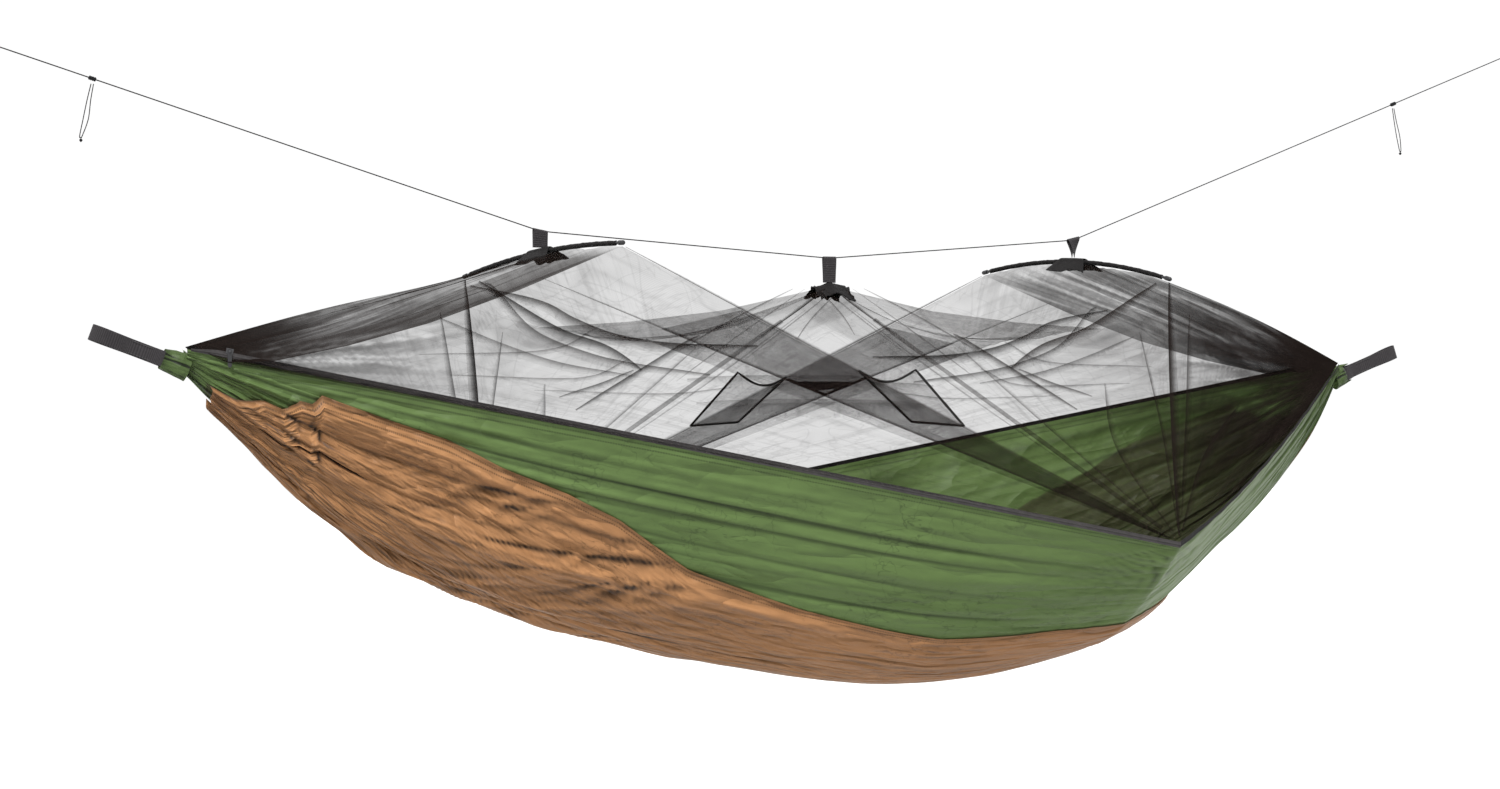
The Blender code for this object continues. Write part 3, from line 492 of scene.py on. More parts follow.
def finish(name):
    """Each finish is made once, from the colours on the panel."""
    if name not in FINISHES:
        s = bpy.context.scene.hammock_finishes
        black = tuple(s.tape)
        makers = {
            "bed_nylon": lambda: nylon(name, s.bed_light, s.bed_dark, s.bed_pocket_shade),
            "pocket_nylon": lambda: nylon(name, s.pocket_light, s.pocket_dark, crumpled=0.5),
            "insect_net": lambda: netting(name, s.net, s.net_cover),
            "hanging_webbing": lambda: webbing(name, s.webbing),
            "binding_tape": lambda: twill(name, black),
            "sleeve_cloth": lambda: twill(name, [c * 0.7 for c in black], 1.6),
            "braided_cord": lambda: braid(name, s.cord),
            "rod_paint": lambda: hard(name, (0.012, 0.012, 0.013), 0.35, coat=0.3),
            "cap_plastic": lambda: hard(name, (0.016, 0.016, 0.017), 0.45),
            "zip_nylon": lambda: zip_tape(name, s.zip),
            "slider_metal": lambda: hard(name, (0.05, 0.05, 0.052), 0.35, metal=0.8, coat=0.2),
            "sewing_thread": lambda: hard(name, (0.05, 0.05, 0.05), 0.6, grain=600.0),
        }
        FINISHES[name] = makers[name]()
    return FINISHES[name]


# ---- making pieces -------------------------------------------------------------------------
def put(name, mesh, material, body="hammock", replaces=()):
    """Link a finished mesh as a piece that rides on a body."""
    piece = bpy.data.objects.new(name, mesh)
    bpy.context.scene.collection.objects.link(piece)
    mesh.materials.clear()
    mesh.materials.append(finish(material))
    mesh.shade_smooth()
    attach(piece, body)
    if replaces:
        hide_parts(*replaces)
    return piece


def cloth_grid(name, counts, shape, size, values=()):
    """A grid laid over a surface: shape turns shares of its two ways into places."""
    bm = bmesh.new()
    bmesh.ops.create_grid(bm, x_segments=counts[0], y_segments=counts[1], size=0.5)
    mesh = bpy.data.meshes.new(name)
    bm.to_mesh(mesh)
    bm.free()
    flat = np.empty(len(mesh.vertices) * 3)
    mesh.vertices.foreach_get("co", flat)
    flat = flat.reshape(-1, 3)
    low, high = flat.min(axis=0), flat.max(axis=0)
    u, v = ((flat[:, k] - low[k]) / (high[k] - low[k]) for k in (0, 1))
    mesh.vertices.foreach_set("co", (shape(u, v) + MIDDLE).ravel())
    corners = np.empty(len(mesh.loops), dtype=np.int32)
    mesh.loops.foreach_get("vertex_index", corners)
    layer = mesh.uv_layers.new(name="cloth")
    uv = np.stack([u * size[0], v * size[1]], axis=1)[corners]
    layer.data.foreach_set("uv", uv.ravel())
    for key, made in dict(values).items():
        attribute = mesh.attributes.new(key, "FLOAT", "POINT")
        attribute.data.foreach_set("value", np.broadcast_to(made(u, v), u.shape).astype(np.float32))
    mesh.update()
    return mesh


def area_of(mesh):
    bm = bmesh.new()
    bm.from_mesh(mesh)
    total = sum(face.calc_area() for face in bm.faces)
    bm.free()
    return total


def hung(piece, flat, with_pieces=()):
    """Work out a hung sheet's area, which nothing uses.

    The area worked out is the surface's own, kept between 0.3 and 1 times the flat size's area. Kept
    within what a sheet may say. It isn't the flat size's area, so comparing the two shows nothing about
    how much cloth a gather takes up.
    """
    share = min(1.0, max(0.3, area_of(piece.data) / (flat[0] * flat[1])))
    round(flat[0] * flat[1] * share, 4)


def tube_mesh(name, path, radius, sides=8, closed=False, wobble=0.0):
    """A tube along a path, with closed ends."""
    path = np.asarray(path, float)
    count = len(path)
    if closed:
        ahead, behind = np.roll(path, -1, 0), np.roll(path, 1, 0)
    else:
        ahead, behind = np.vstack([path[1:], path[-1:]]), np.vstack([path[:1], path[:-1]])
    way = ahead - behind
    way /= np.linalg.norm(way, axis=1)[:, None]
    radii = np.broadcast_to(np.asarray(radius, float), count)
    bm = bmesh.new()
    rings = []
    side = Vector(way[0]).orthogonal().normalized()
    for k in range(count):
        forward = Vector(way[k])
        side = (side - forward * side.dot(forward)).normalized()
        turn = Matrix((side, forward.cross(side), forward)).transposed().to_4x4()
        turn.translation = Vector(path[k])
        r = radii[k] * (1 + wobble * sin(k * 2.3) * cos(k * 0.7))
        ring = bmesh.ops.create_circle(bm, segments=sides, radius=r, matrix=turn)["verts"]
        rings.append(list(ring))
    pairs = list(zip(rings, rings[1:])) + ([(rings[-1], rings[0])] if closed else [])
    for first, second in pairs:
        for k in range(sides):
            j = (k + 1) % sides
            bm.faces.new((first[k], first[j], second[j], second[k]))
    if not closed:
        bm.faces.new(rings[0][::-1])
        bm.faces.new(rings[-1])
    bmesh.ops.recalc_face_normals(bm, faces=bm.faces)
    mesh = bpy.data.meshes.new(name)
    bm.to_mesh(mesh)
    bm.free()
    return mesh


def thicken(piece, thickness):
    """Give a flat piece a wall, half to each side."""
    wall = piece.modifiers.new("thickness", "SOLIDIFY")
    wall.thickness = thickness
    wall.offset = 0.0


# ---- the net's surface ---------------------------------------------------------------------
# how far the upper line hangs below a straight one, at shares of the way along each leg
GATHER_SWAG_STOPS = (0, 0.08, 0.19, 0.36, 0.55, 0.76, 1)
GATHER_SWAG = (0, 0.046, 0.064, 0.067, 0.060, 0.037, 0)
PEAK_SWAG_STOPS = (0.0, 0.30, 0.55, 0.80, 0.90, 1.0)
PEAK_SWAG = (0.0, 0.053, 0.078, 0.093, 0.070, 0.0)
SWAG_DEEP = 0.200


def seam_point(side, along):
    return edge(side, np.atleast_1d(along))[0] + np.array((0, 0, SEAM_OVER_EDGE[side]))


def net_stops(side):
    """Gather, rod end, peak, rod end, gather, counted from the long edge's gather."""
    sign = SIDES[side]
    under = np.array((0, 0, SLEEVE_RADIUS + 0.0015))
    first, second = ("head", "foot") if side == "near" else ("foot", "head")
    start = 0.036
    low = np.array((0, 0, 0.0040 if side == "near" else 0.0))
    return [seam_point(side, sign * (HALF_SPAN - start)), rod(first, sign)[0] - under,
            NET_PEAK + np.array((0, sign * 0.004, 0)), rod(second, sign)[0] - under,
            seam_point(side, -sign * (HALF_SPAN - start)) - low]


def net_rim(side, step, plain=False):
    """The net's upper line at a step from 0 to 24; plain pulls it straight."""
    stops = np.array(net_stops(side))
    leg = np.clip((step // 6).astype(int), 0, 3)
    t = step / 6 - leg
    line = stops[leg] + (stops[leg + 1] - stops[leg]) * t[:, None]
    if not plain:
        line[:, 2] -= np.choose(leg, (np.interp(t, GATHER_SWAG_STOPS, GATHER_SWAG),
                                      SWAG_DEEP * (1 - t) ** 0.95 * ease(t / 0.16),
                                      np.interp(t, PEAK_SWAG_STOPS, PEAK_SWAG),
                                      -0.010 * np.sin(pi * t)))
    return line


def net(side, step, reach, lift=0.0, plain=False):
    """Places on a side's net: reach runs from the bed's corner, 0, to the upper line, 1."""
    step, reach = np.broadcast_arrays(np.asarray(step, float), np.asarray(reach, float))
    step, reach = step.ravel(), reach.ravel()
    apex = seam_point(side, -SIDES[side] * CORNER_ALONG)
    rim = net_rim(side, step, plain)
    place = apex + (rim - apex) * reach[:, None]
    slack = 4 * EDGE_SAG * np.clip(1 - (24 - step) / 8, 0, 1) ** 2
    belly = 0.018 * np.sin(pi * np.clip((step - 12) / 6, 0, 1)) * np.sin(pi * reach)
    if not plain:
        place[:, 2] -= slack * reach * (1 - reach) + belly
    place[:, 1] += SIDES[side] * lift * 0.8
    place[:, 2] += lift * 0.6
    return place


def gathered(place, head=1.0, foot=1.0, seed=31):
    """How many layers of net crowd together in the folds that run to each gather."""
    total = 0
    for sign, weight in ((-1, head), (1, foot)):
        way = place - np.array((sign * HALF_SPAN, 0, 0))
        far = np.linalg.norm(way, axis=1)
        fan = (way[:, 2] + 0.7 * way[:, 1]) / far
        folds = sum(heavy * ease((crumple(seed + k, fan * count, far * 1.3) - 0.60) / 0.10)
                    for k, (count, heavy) in enumerate(((7, 4.0), (15, 4.5), (31, 3.5)), 3 * sign))
        total = total + weight * (folds * ease((1.08 - far) / 0.92) ** 1.2
                                  + 26 * ease((0.46 - far) / 0.46) ** 2)
    return total


def net_folds(side, step, reach):
    """Creases that run from the corner to the upper line."""
    draw = np.random.default_rng(11 if side == "near" else 12)
    total = np.zeros_like(step)
    for centre, width, tall in zip(draw.uniform(0, 24, 26), draw.uniform(0.05, 0.30, 26),
                                   draw.uniform(-0.005, 0.005, 26)):
        total += tall * np.exp(-np.abs((step - centre) / width) ** 1.5)
    return total * np.sin(pi * np.clip(reach, 0, 1)) ** 0.7


# ---- settings ------------------------------------------------------------------------------
def colour_setting(name, description, default):
    return bpy.props.FloatVectorProperty(name=name, description=description, subtype="COLOR",
                                         size=3, min=0, max=1, default=default)


class HammockFinishes(bpy.types.PropertyGroup):
    bed_light: colour_setting("Bed, lit", "Bed nylon where it catches light", (0.074, 0.116, 0.036))
    bed_dark: colour_setting("Bed, shaded", "Bed nylon in its creases", (0.056, 0.090, 0.026))
    # Painted shade: the colour for the bed's inside over the pocket, where the pocket behind keeps light
    # from coming through.
    bed_pocket_shade: colour_setting("Bed, backed", "Inside of the bed over the pocket", (0.040, 0.046, 0.018))
    pocket_light: colour_setting("Pocket, lit", "Pocket nylon where it catches light",
                                 (0.277, 0.137, 0.058))
    pocket_dark: colour_setting("Pocket, shaded", "Pocket nylon in its creases", (0.200, 0.097, 0.040))
    net: colour_setting("Net", "Net thread", (0.0072, 0.0052, 0.0045))
    webbing: colour_setting("Webbing", "Hanging webbing", (0.015, 0.0135, 0.0145))
    tape: colour_setting("Tape", "Bindings, patches and sleeves", (0.0075, 0.0068, 0.0068))
    cord: colour_setting("Cord", "Ridgeline cord", (0.006, 0.006, 0.0065))
    zip: colour_setting("Zip", "Zip tape and coil", (0.026, 0.024, 0.024))
    net_cover: bpy.props.FloatProperty(name="Net cover", description="Share that one layer hides",
                                       default=0.170, min=0.02, max=0.9, subtype="FACTOR")


class HammockSizes(bpy.types.PropertyGroup):
    bed_along: bpy.props.IntProperty(name="Bed columns", description="Grid along the bed",
                                     default=260, min=40, max=600)
    bed_round: bpy.props.IntProperty(name="Bed rows", description="Grid round the bed",
                                     default=360, min=20, max=380)
    cord_thickness: bpy.props.FloatProperty(name="Cord", description="Ridgeline cord's thickness",
                                            default=0.0022, min=0.001, max=0.006, unit="LENGTH")
    tail_thickness: bpy.props.FloatProperty(name="Tail cord", description="Tensioner tail's thickness",
                                            default=0.0018, min=0.001, max=0.004, unit="LENGTH")
    webbing_width: bpy.props.FloatProperty(name="Webbing", description="Webbing width",
                                           default=0.029, min=0.01, max=0.05, unit="LENGTH")
    pocket_lift: bpy.props.FloatProperty(name="Pocket lift", description="Pocket over the bed's cloth",
                                         default=0.007, min=0.002, max=0.02, unit="LENGTH")


# ---- operators -----------------------------------------------------------------------------
class HAMMOCK_OT_camera(bpy.types.Operator):
    """Set the camera where the whole hammock is seen a little from its head end"""
    bl_idname = "hammock.camera"
    bl_label = "Camera"

    def execute(self, context):
        data = bpy.data.cameras.new("camera")
        data.sensor_width = 36.0
        data.lens = 66.26
        data.dof.use_dof = False
        camera = bpy.data.objects.new("camera", data)
        camera.location = Vector(MIDDLE) + Vector((-2.62, -4.918, -0.115))
        camera.rotation_euler = (radians(90.63), 0, radians(-26.6))
        context.scene.collection.objects.link(camera)
        context.scene.camera = camera
        return {"FINISHED"}


def line_point(end, share):
    """The ridgeline outside a net loop: 0 at the loop, 1 at the line's end."""
    sign = ENDS[end]
    run = (LINE_REACH[end] - ROD_ALONG) * share
    return np.array((sign * (ROD_ALONG + run), 0, LINE_OVER[end] + LINE_RISE[end] * run))


def length_of(path):
    return float(np.linalg.norm(np.diff(path, axis=0), axis=1).sum())


class HAMMOCK_OT_cords(bpy.types.Operator):
    """Make the ridgeline and the tensioners' tails"""
    bl_idname = "hammock.cords"
    bl_label = "Cords"

    def execute(self, context):
        sizes = context.scene.hammock_sizes
        stops = [line_point("head", 1), line_point("head", 0),
                 np.array((NET_PEAK[0], 0, LINE_OVER["middle"])), line_point("foot", 0),
                 line_point("foot", 1)]
        bend = 0.024
        route = [stops[:1]]
        for before, here, after in zip(stops, stops[1:], stops[2:]):
            on = here + (after - here) / np.linalg.norm(after - here) * bend
            back = here + (before - here) / np.linalg.norm(before - here) * bend
            t = np.linspace(0, 1, 7)[:, None]
            start = route[-1][-1]
            run = np.linspace(0, 1, 6, endpoint=False)[1:, None]
            route.append(start + (back - start) * run)
            route.append(back * (1 - t) ** 2 + here * 2 * t * (1 - t) + on * t * t)
        last = route[-1][-1]
        route.append(last + (stops[-1] - last) * np.linspace(0, 1, 6)[1:, None])
        path = np.vstack(route) + MIDDLE
        line = put("ridgeline_cord", tube_mesh("ridgeline_cord", path, sizes.cord_thickness / 2, 10),
                   "braided_cord", replaces=("ridgeline",))
        tuple(path[0])
        for end, sign in ENDS.items():
            self.make_tail(end, sign, sizes.tail_thickness)
        return {"FINISHED"}

    def make_tail(self, end, sign, thickness):
        centre = line_point(end, (TENSIONER_AT[end] - ROD_ALONG) / (LINE_REACH[end] - ROD_ALONG))
        top = centre - np.array((0, 0, 0.0094))
        foot = top + np.array((sign * 0.020, 0, -0.098))
        gap, bulge = 0.0022, 0.006
        x = np.array((1.0, 0, 0))
        down = [top - x * gap, top + (foot - top) * 0.3 - x * (gap + 0.001),
                top + (foot - top) * 0.65 - x * (gap + 0.001), foot - x * gap + np.array((0, 0, 0.004))]
        back = [foot + x * gap + np.array((0, 0, 0.004)), top + (foot - top) * 0.65 + x * bulge,
                top + (foot - top) * 0.3 + x * (gap + 0.001), top + x * gap]
        path = smooth(down + [foot + np.array((0, 0, 0.0015))] + back, 6) + MIDDLE
        mesh = tube_mesh(end + "_tail", path, thickness / 2, 8)
        tail = put(end + "_tail", mesh, "braided_cord", body=end + "_tail",
                   replaces=(end + "_tail_cord",))
        tuple(path[0])


HEAD_PLEATS = Pleats(3, 120, (0.003, 0.016), (0.20, 1.25), (0.005, 0.016), slant=0.02, power=1.25)
FOOT_PLEATS = Pleats(5, 100, (0.004, 0.018), (0.18, 0.95), (0.005, 0.015), slant=0.02, power=1.25)
GATHER_PLEATS = Pleats(2, 60, (0.012, 0.040), (0.12, 0.60), (0.006, 0.016), slant=0.03, power=1.2)
LONG_PLEATS = Pleats(8, 18, (0.005, 0.012), (1.4, 2.6), (0.005, 0.013), band=(0.012, 0.20), slant=0.01,
                     power=1.25)
FAR_LONG_PLEATS = Pleats(9, 16, (0.005, 0.014), (1.1, 2.3), (0.003, 0.007), band=(0.78, 0.99),
                         power=1.25)
POCKET_PLEATS = Pleats(21, 40, (0.009, 0.030), (0.40, 1.80), (0.014, 0.038), band=(0.05, 0.95),
                       slant=0.12, power=1.3)
POCKET_FOOT = Pleats(23, 50, (0.006, 0.022), (0.35, 1.20), (0.003, 0.010), band=(0.05, 0.95),
                     slant=0.06, power=1.2)


def corner_fan(side, along, around):
    """Folds that spread from a bed corner."""
    across = along + SIDES[side] * CORNER_ALONG
    far = np.hypot(across, around)
    angle = np.arctan2(around, across)
    rise = 0.0050 * (crumple(41 + SIDES[side], angle * 5, far * 1.5) - 0.5)
    return rise * np.exp(-far / 0.28) * ease(far / 0.05)


def bed_folds(along, share):
    """How far the bed's cloth stands out of its plain shape."""
    around = girth(along)
    head, foot = along + HALF_SPAN, HALF_SPAN - along
    total = HEAD_PLEATS.height(head, share, around) + FOOT_PLEATS.height(foot, share, around)
    total += GATHER_PLEATS.height(head, share, around) + GATHER_PLEATS.height(foot, 1 - share, around)
    total += LONG_PLEATS.height(head, share, around) * ease((0.8 - along) / 0.8)
    total += FAR_LONG_PLEATS.height(foot, share, around)
    total += corner_fan("near", along, share * around) + corner_fan("far", along, (1 - share) * around)
    total += 0.0034 * (crumple(51, along * 2.6, share * around * 9) - 0.5) * ease(around / 0.5)
    total += 0.0010 * (crumple(52, along * 9, share * around * 22) - 0.5) * ease(around / 0.5)
    rim = np.clip(np.minimum(share, 1 - share) / 0.012, 0, 1)
    return np.clip(total, -0.020, 0.016) * (0.15 + 0.85 * rim)


RIM_ROUTE = ((-1.27, 0.24), (-1.21, 0.206), (-1.165, 0.132), (-1.130, 0.128), (-1.105, 0.076),
             (-1.080, 0.072), (-1.068, 0.042), (-0.96, 0.052), (-0.84, 0.060), (-0.74, 0.080),
             (-0.61, 0.097), (-0.51, 0.118), (-0.36, 0.180), (-0.14, 0.212), (0.156, 0.239),
             (0.276, 0.231), (0.386, 0.222), (0.60, 0.235), (0.70, 0.29), (0.80, 0.39),
             (0.95, 0.44), (1.27, 0.46))


def pocket_rim(side, along):
    """Share of the way round where the mat pocket's rim lies."""
    route = np.array(RIM_ROUTE)
    return np.interp(-SIDES[side] * along, route[:, 0], route[:, 1])


class HAMMOCK_OT_bed(bpy.types.Operator):
    """Make the bed's cloth and the mat pocket under it"""
    bl_idname = "hammock.bed"
    bl_label = "Bed and pocket"

    def execute(self, context):
        sizes = context.scene.hammock_sizes

        def along_of(u):
            t = 2 * u - 1
            return REACH * (0.55 * np.sin(0.5 * pi * t) + 0.45 * t)

        def bed_shape(u, v):
            x = along_of(u)
            return bed(x, v, bed_folds(x, v))

        # Painted shade mask: 1 where the mat pocket lies behind the bed, which the finish paints darker.
        def pocket_shade(u, v):
            x = along_of(u)
            return ((v > pocket_rim("near", x)) & (v < 1 - pocket_rim("far", x))
                    & (np.abs(x) < 1.262)).astype(float)

        def rim(u, v):
            return np.minimum(v, 1 - v) * girth(along_of(u))

        # The hollow measure of the bed's folds feeds the finish's painted shade in creases and painted
        # highlights on ridges.
        mesh = cloth_grid("bed_cloth", (sizes.bed_along, sizes.bed_round), bed_shape, (2.75, 1.4),
                          {"pocket_shade": pocket_shade, "rim": rim,
                           "fold_shading": hollow(lambda u, v: bed_folds(along_of(u), v))})
        piece = put("bed_cloth", mesh, "bed_nylon", replaces=("bed_shell",))
        hung(piece, (1.40, 2.75))
        self.make_pocket(sizes)
        return {"FINISHED"}

    def make_pocket(self, sizes):
        ends = 1.258

        def along_of(u):
            t = 2 * u - 1
            return ends * (0.55 * np.sin(0.5 * pi * t) + 0.45 * t)

        def share_of(u, v):
            x = along_of(u)
            low, high = pocket_rim("near", x), 1 - pocket_rim("far", x)
            return x, low + (high - low) * v

        def height(u, v):
            x, share = share_of(u, v)
            around = girth(x)
            own = POCKET_PLEATS.height(x + HALF_SPAN, share, around)
            own += POCKET_FOOT.height(HALF_SPAN - x, share, around)
            rough = ease((0.1 - x) / 0.9)
            own += (0.004 + 0.019 * rough) * (crumple(61, x * 2.8 + share * 3, share * around * 6.5) - 0.45)
            own += (0.001 + 0.005 * rough) * (crumple(62, x * 7 + share * 10, share * around * 13) - 0.45)
            near_rim = ease(np.minimum(v, 1 - v) / 0.05)
            lift = sizes.pocket_lift * (0.35 + 0.65 * near_rim) * (1 - 0.5 * ease((x - 0.65) / 0.25))
            puff = 0.008 * ease((x + 1.25) / 0.1) * ease((-0.95 - x) / 0.1) * (v < 0.3)
            own = np.clip(own, -0.020, 0.026) * (1 - 0.8 * ease((x - 0.65) / 0.25))
            return lift + (own + 0.012 * rough) * near_rim + puff

        def shape(u, v):
            x, share = share_of(u, v)
            base = bed_folds(x, share)
            return bed(x, share, base + np.maximum(height(u, v), 0.003 - np.minimum(base, 0)))

        def rim(u, v):
            x, share = share_of(u, v)
            low, high = pocket_rim("near", x), 1 - pocket_rim("far", x)
            return np.minimum(share - low, high - share) * girth(x)

        # The hollow measure of the pocket's folds feeds the finish's painted shade in creases and painted
        # highlights on ridges.
        mesh = cloth_grid("mat_pocket_cloth", (260, 370), shape, (2.6, 1.0),
                          {"rim": rim, "fold_shading": hollow(height, (0.0040, 0.0085), 0.0013)})
        piece = put("mat_pocket_cloth", mesh, "pocket_nylon",
                    replaces=("mat_pocket",))
        hung(piece, (1.05, 2.60))


# folds in a side of the net: where each runs, its width in metres and how many layers it hides
FOLD_ROUTES = (
    (((6, 0.03), (6, 0.5), (6, 0.995)), 0.007, 7.0),
    (((18, 0.02), (18, 0.5), (18, 0.995)), 0.015, 11.0),
    (((17.6, 0.02), (17.5, 0.4), (17.3, 0.8)), 0.007, 4.0),
    (((4.55, 0.03), (4.55, 0.5), (4.55, 0.97)), 0.006, 5.0),
    (((11.85, 0.8), (11.9, 0.93), (12, 0.99)), 0.007, 10.0),
    (((3.7, 0.985), (3.87, 0.91), (3.7, 0.85), (3.67, 0.79), (4.12, 0.74), (5.2, 0.7)), 0.024, 6.0),
    (((3.9, 0.985), (3.77, 0.96), (3.0, 0.85), (2.8, 0.77), (2.97, 0.72), (3.6, 0.66)), 0.02, 4.0),
    (((2.6, 0.93), (2.3, 0.84), (2.2, 0.76), (2.6, 0.7)), 0.016, 3.0),
    (((3.1, 0.66), (4.4, 0.6), (6.2, 0.56)), 0.03, 1.6),
    (((2.2, 0.6), (4.0, 0.52), (6.0, 0.47)), 0.034, 1.2),
    (((13.2, 0.8), (13.3, 0.757), (13.7, 0.645), (14.6, 0.5)), 0.016, 6.0),
    (((13.7, 0.66), (15.0, 0.74), (16.28, 0.81), (17.77, 0.99)), 0.02, 7.0),
    (((13.9, 0.66), (14.4, 0.6), (15.4, 0.55)), 0.012, 5.0),
    (((12.5, 0.985), (12.9, 0.86), (13.3, 0.74)), 0.006, 4.0),
    (((12.3, 0.985), (12.4, 0.8), (12.5, 0.62)), 0.004, 3.5),
    (((11.5, 0.985), (11.2, 0.85), (10.9, 0.7)), 0.004, 3.5),
    (((11.3, 0.985), (10.6, 0.86), (9.6, 0.76)), 0.005, 4.0),
    (((10.9, 0.3), (11.1, 0.62), (11.5, 0.9)), 0.005, 2.5),
    (((12.9, 0.1), (13.0, 0.45), (13.0, 0.75)), 0.008, 3.0),
    (((19.0, 0.1), (18.9, 0.5), (18.7, 0.9)), 0.01, 4.0),
    (((14.9, 0.04), (15.2, 0.35), (16.0, 0.6)), 0.012, 3.0),
    (((20.5, 0.04), (20.8, 0.35), (21.5, 0.62)), 0.014, 4.0),
    (((1.3, 0.86), (2.6, 0.8), (3.9, 0.83)), 0.008, 2.5),
    (((0.8, 0.8), (1.9, 0.72), (3.2, 0.74)), 0.008, 2.5),
    (((1.0, 0.72), (2.2, 0.64), (3.4, 0.62)), 0.007, 2.2),
)


class HAMMOCK_OT_net(bpy.types.Operator):
    """Make the net's sides, top, overlaps, creases and seams"""
    bl_idname = "hammock.net"
    bl_label = "Net"

    def execute(self, context):
        for side in SIDES:
            self.make_side(side)
        for end in ENDS:
            self.make_top(end)
        return {"FINISHED"}

    def strip(self, name, side, route, width, crowd, soft=True, slot=None, replaces=()):
        """A narrow fold along a route of (step, reach), sharp on one edge if it is soft."""
        line = smooth([net(side, s, r, 0.003, plain=True)[0] for s, r in route], 10)
        way = np.gradient(line, axis=0)
        way /= np.linalg.norm(way, axis=1)[:, None]
        flat = np.cross(way, np.array((0.0, SIDES[side] * 0.8, 0.6)))
        flat /= np.linalg.norm(flat, axis=1)[:, None]
        total, spots = length_of(line), np.arange(len(line))

        def shape(u, v):
            k = u * (len(line) - 1)
            base, out = (np.stack([np.interp(k, spots, part[:, c]) for c in range(3)], 1)
                         for part in (line, flat))
            taper = 1.3 * np.sin(pi * np.clip(u, 0.02, 0.98)) ** 0.5 if soft else 1.0
            return base + out * ((v - 0.5) * width * taper)[:, None]

        def crowded(u, v):
            return crowd * 2.0 * (0.06 + (1 - v) ** 1.9) if soft else np.full_like(u, crowd)

        mesh = cloth_grid(name, (max(8, int(total / 0.012)), 8), shape, (total, width),
                          {"crowd": crowded})
        return put(name, mesh, "insect_net", replaces=replaces)

    def make_side(self, side):
        def spot(u, v):
            return 24 * u, 0.014 + 0.986 * v

        def crowd(u, v):
            step, reach = spot(u, v)
            place = net(side, step, reach)
            apex = ease((0.22 - reach) / 0.22) * crumple(71, step * 2.3, reach) ** 2
            thin = crumple(72, step * 1.9, reach * 1.3) ** 11 * 2.0
            wavy = crumple(73, step * 0.9, reach * 6) ** 12 * 1.5
            swag = ease((reach - 0.905) / 0.008) * ease((step - 6.4) / 0.5) * ease((17.4 - step) / 0.6)
            heavy = (0.12, 1.7) if side == "near" else (1.1, 0.2)
            return 1 + gathered(place, *heavy) + 3.4 * apex + thin + wavy + 1.5 * swag

        def shape(u, v):
            step, reach = spot(u, v)
            return net(side, step, reach, net_folds(side, step, reach))

        mesh = cloth_grid("net_side_" + side, (420, 110), shape, (2.6, 0.7), {"crowd": crowd})
        piece = put("net_side_" + side, mesh, "insect_net",
                    replaces=("net_%s_side" % side,))

        def overlap(u, v):
            return net(side, 4.55 + 1.45 * u, 0.02 + 0.775 * v, -0.002, plain=True)

        def doubled(u, v):
            sharp = np.maximum(np.exp(-(u / 0.03) ** 2), np.exp(-((1 - u) / 0.03) ** 2))
            return 3.4 + 2.0 * (1 - v) + 3.0 * sharp + 1.5 * crumple(75, u * 3, v * 2.5) ** 4

        mesh = cloth_grid("net_overlap_" + side, (40, 80), overlap, (0.2, 1.2), {"crowd": doubled})
        extras = [put("net_overlap_" + side, mesh, "insect_net")]
        for k, (route, width, heavy) in enumerate(FOLD_ROUTES):
            extras.append(self.strip("net_fold_%s_%02d" % (side, k), side, route, width, heavy))
        seam = self.strip("net_seam_tape_" + side, side, [(11.9, 0.05), (11.85, 0.5), (11.85, 0.86)],
                          0.012, 4.5, soft=False, replaces=("net_seam_" + side,), slot="tape")
        hung(piece, (1.05, 2.6), with_pieces=extras + [seam])

    def make_top(self, end):
        near_steps = (0.15, 12.0) if end == "head" else (12.0, 23.85)
        rod_step = 6.0 if end == "head" else 18.0

        def step_of(u):
            return near_steps[0] + (near_steps[1] - near_steps[0]) * u

        def outside(step):
            """0 between the rod and the peak, 1 at the gather."""
            away = (rod_step - step) if end == "head" else (step - rod_step)
            return np.clip(away / 6, 0, 1)

        def shape(u, v):
            step = step_of(u)
            a, b = net_rim("near", step), net_rim("far", 24 - step)
            place = a + (b - a) * v[:, None]
            arch = 1 - (2 * v - 1) ** 2
            at_rod = np.clip(1 - np.abs(step - rod_step) / 5.0, 0, 1)
            place[:, 2] += arch * (ROD_ARCH[end] - 0.002) * at_rod ** 1.3
            width = np.linalg.norm(b - a, axis=1)
            fold = 2 * crumple(81, v * 6 + 0.2 * step, step * 0.12) - 1
            place[:, 2] += fold * np.minimum(0.010, width * 0.03) * arch
            inside = np.where(outside(step) > 0, 0, np.clip(np.abs(step - rod_step) / 6, 0, 1))
            place[:, 2] -= 0.03 * arch * np.sin(pi * inside)
            return place

        def crowd(u, v):
            step = step_of(u)
            out = outside(step)
            across = v * (1 if end == "head" else 0.8) + 0.05 * np.sin(step)
            seed = 82 if end == "head" else 86
            folds = ease((crumple(seed, across * 7, step * 0.13) - 0.58) / 0.06)
            thin = ease((crumple(seed + 1, across * 17, step * 0.25) - 0.66) / 0.06)
            heavy = (1.9 - 1.7 * v, 5.2 - 3.0 * v) if end == "head" else (0.5, 4.6)
            over = ease(out * 9)
            hem = 4.0 * np.exp(-v / 0.13) if end == "head" else 1.6 * np.exp(-(1 - v) / 0.1)
            return (1 + over * (heavy[0] + heavy[1] * folds + 2.4 * thin + hem) + 0.6 * thin
                    + gathered(shape(u, v), 0.22, 0.9))

        mesh = cloth_grid("net_roof_" + end, (240, 130), shape, (1.35, 0.55), {"crowd": crowd})
        piece = put("net_roof_" + end, mesh, "insect_net", replaces=("net_top_" + end,))
        hung(piece, (0.62, 1.45))


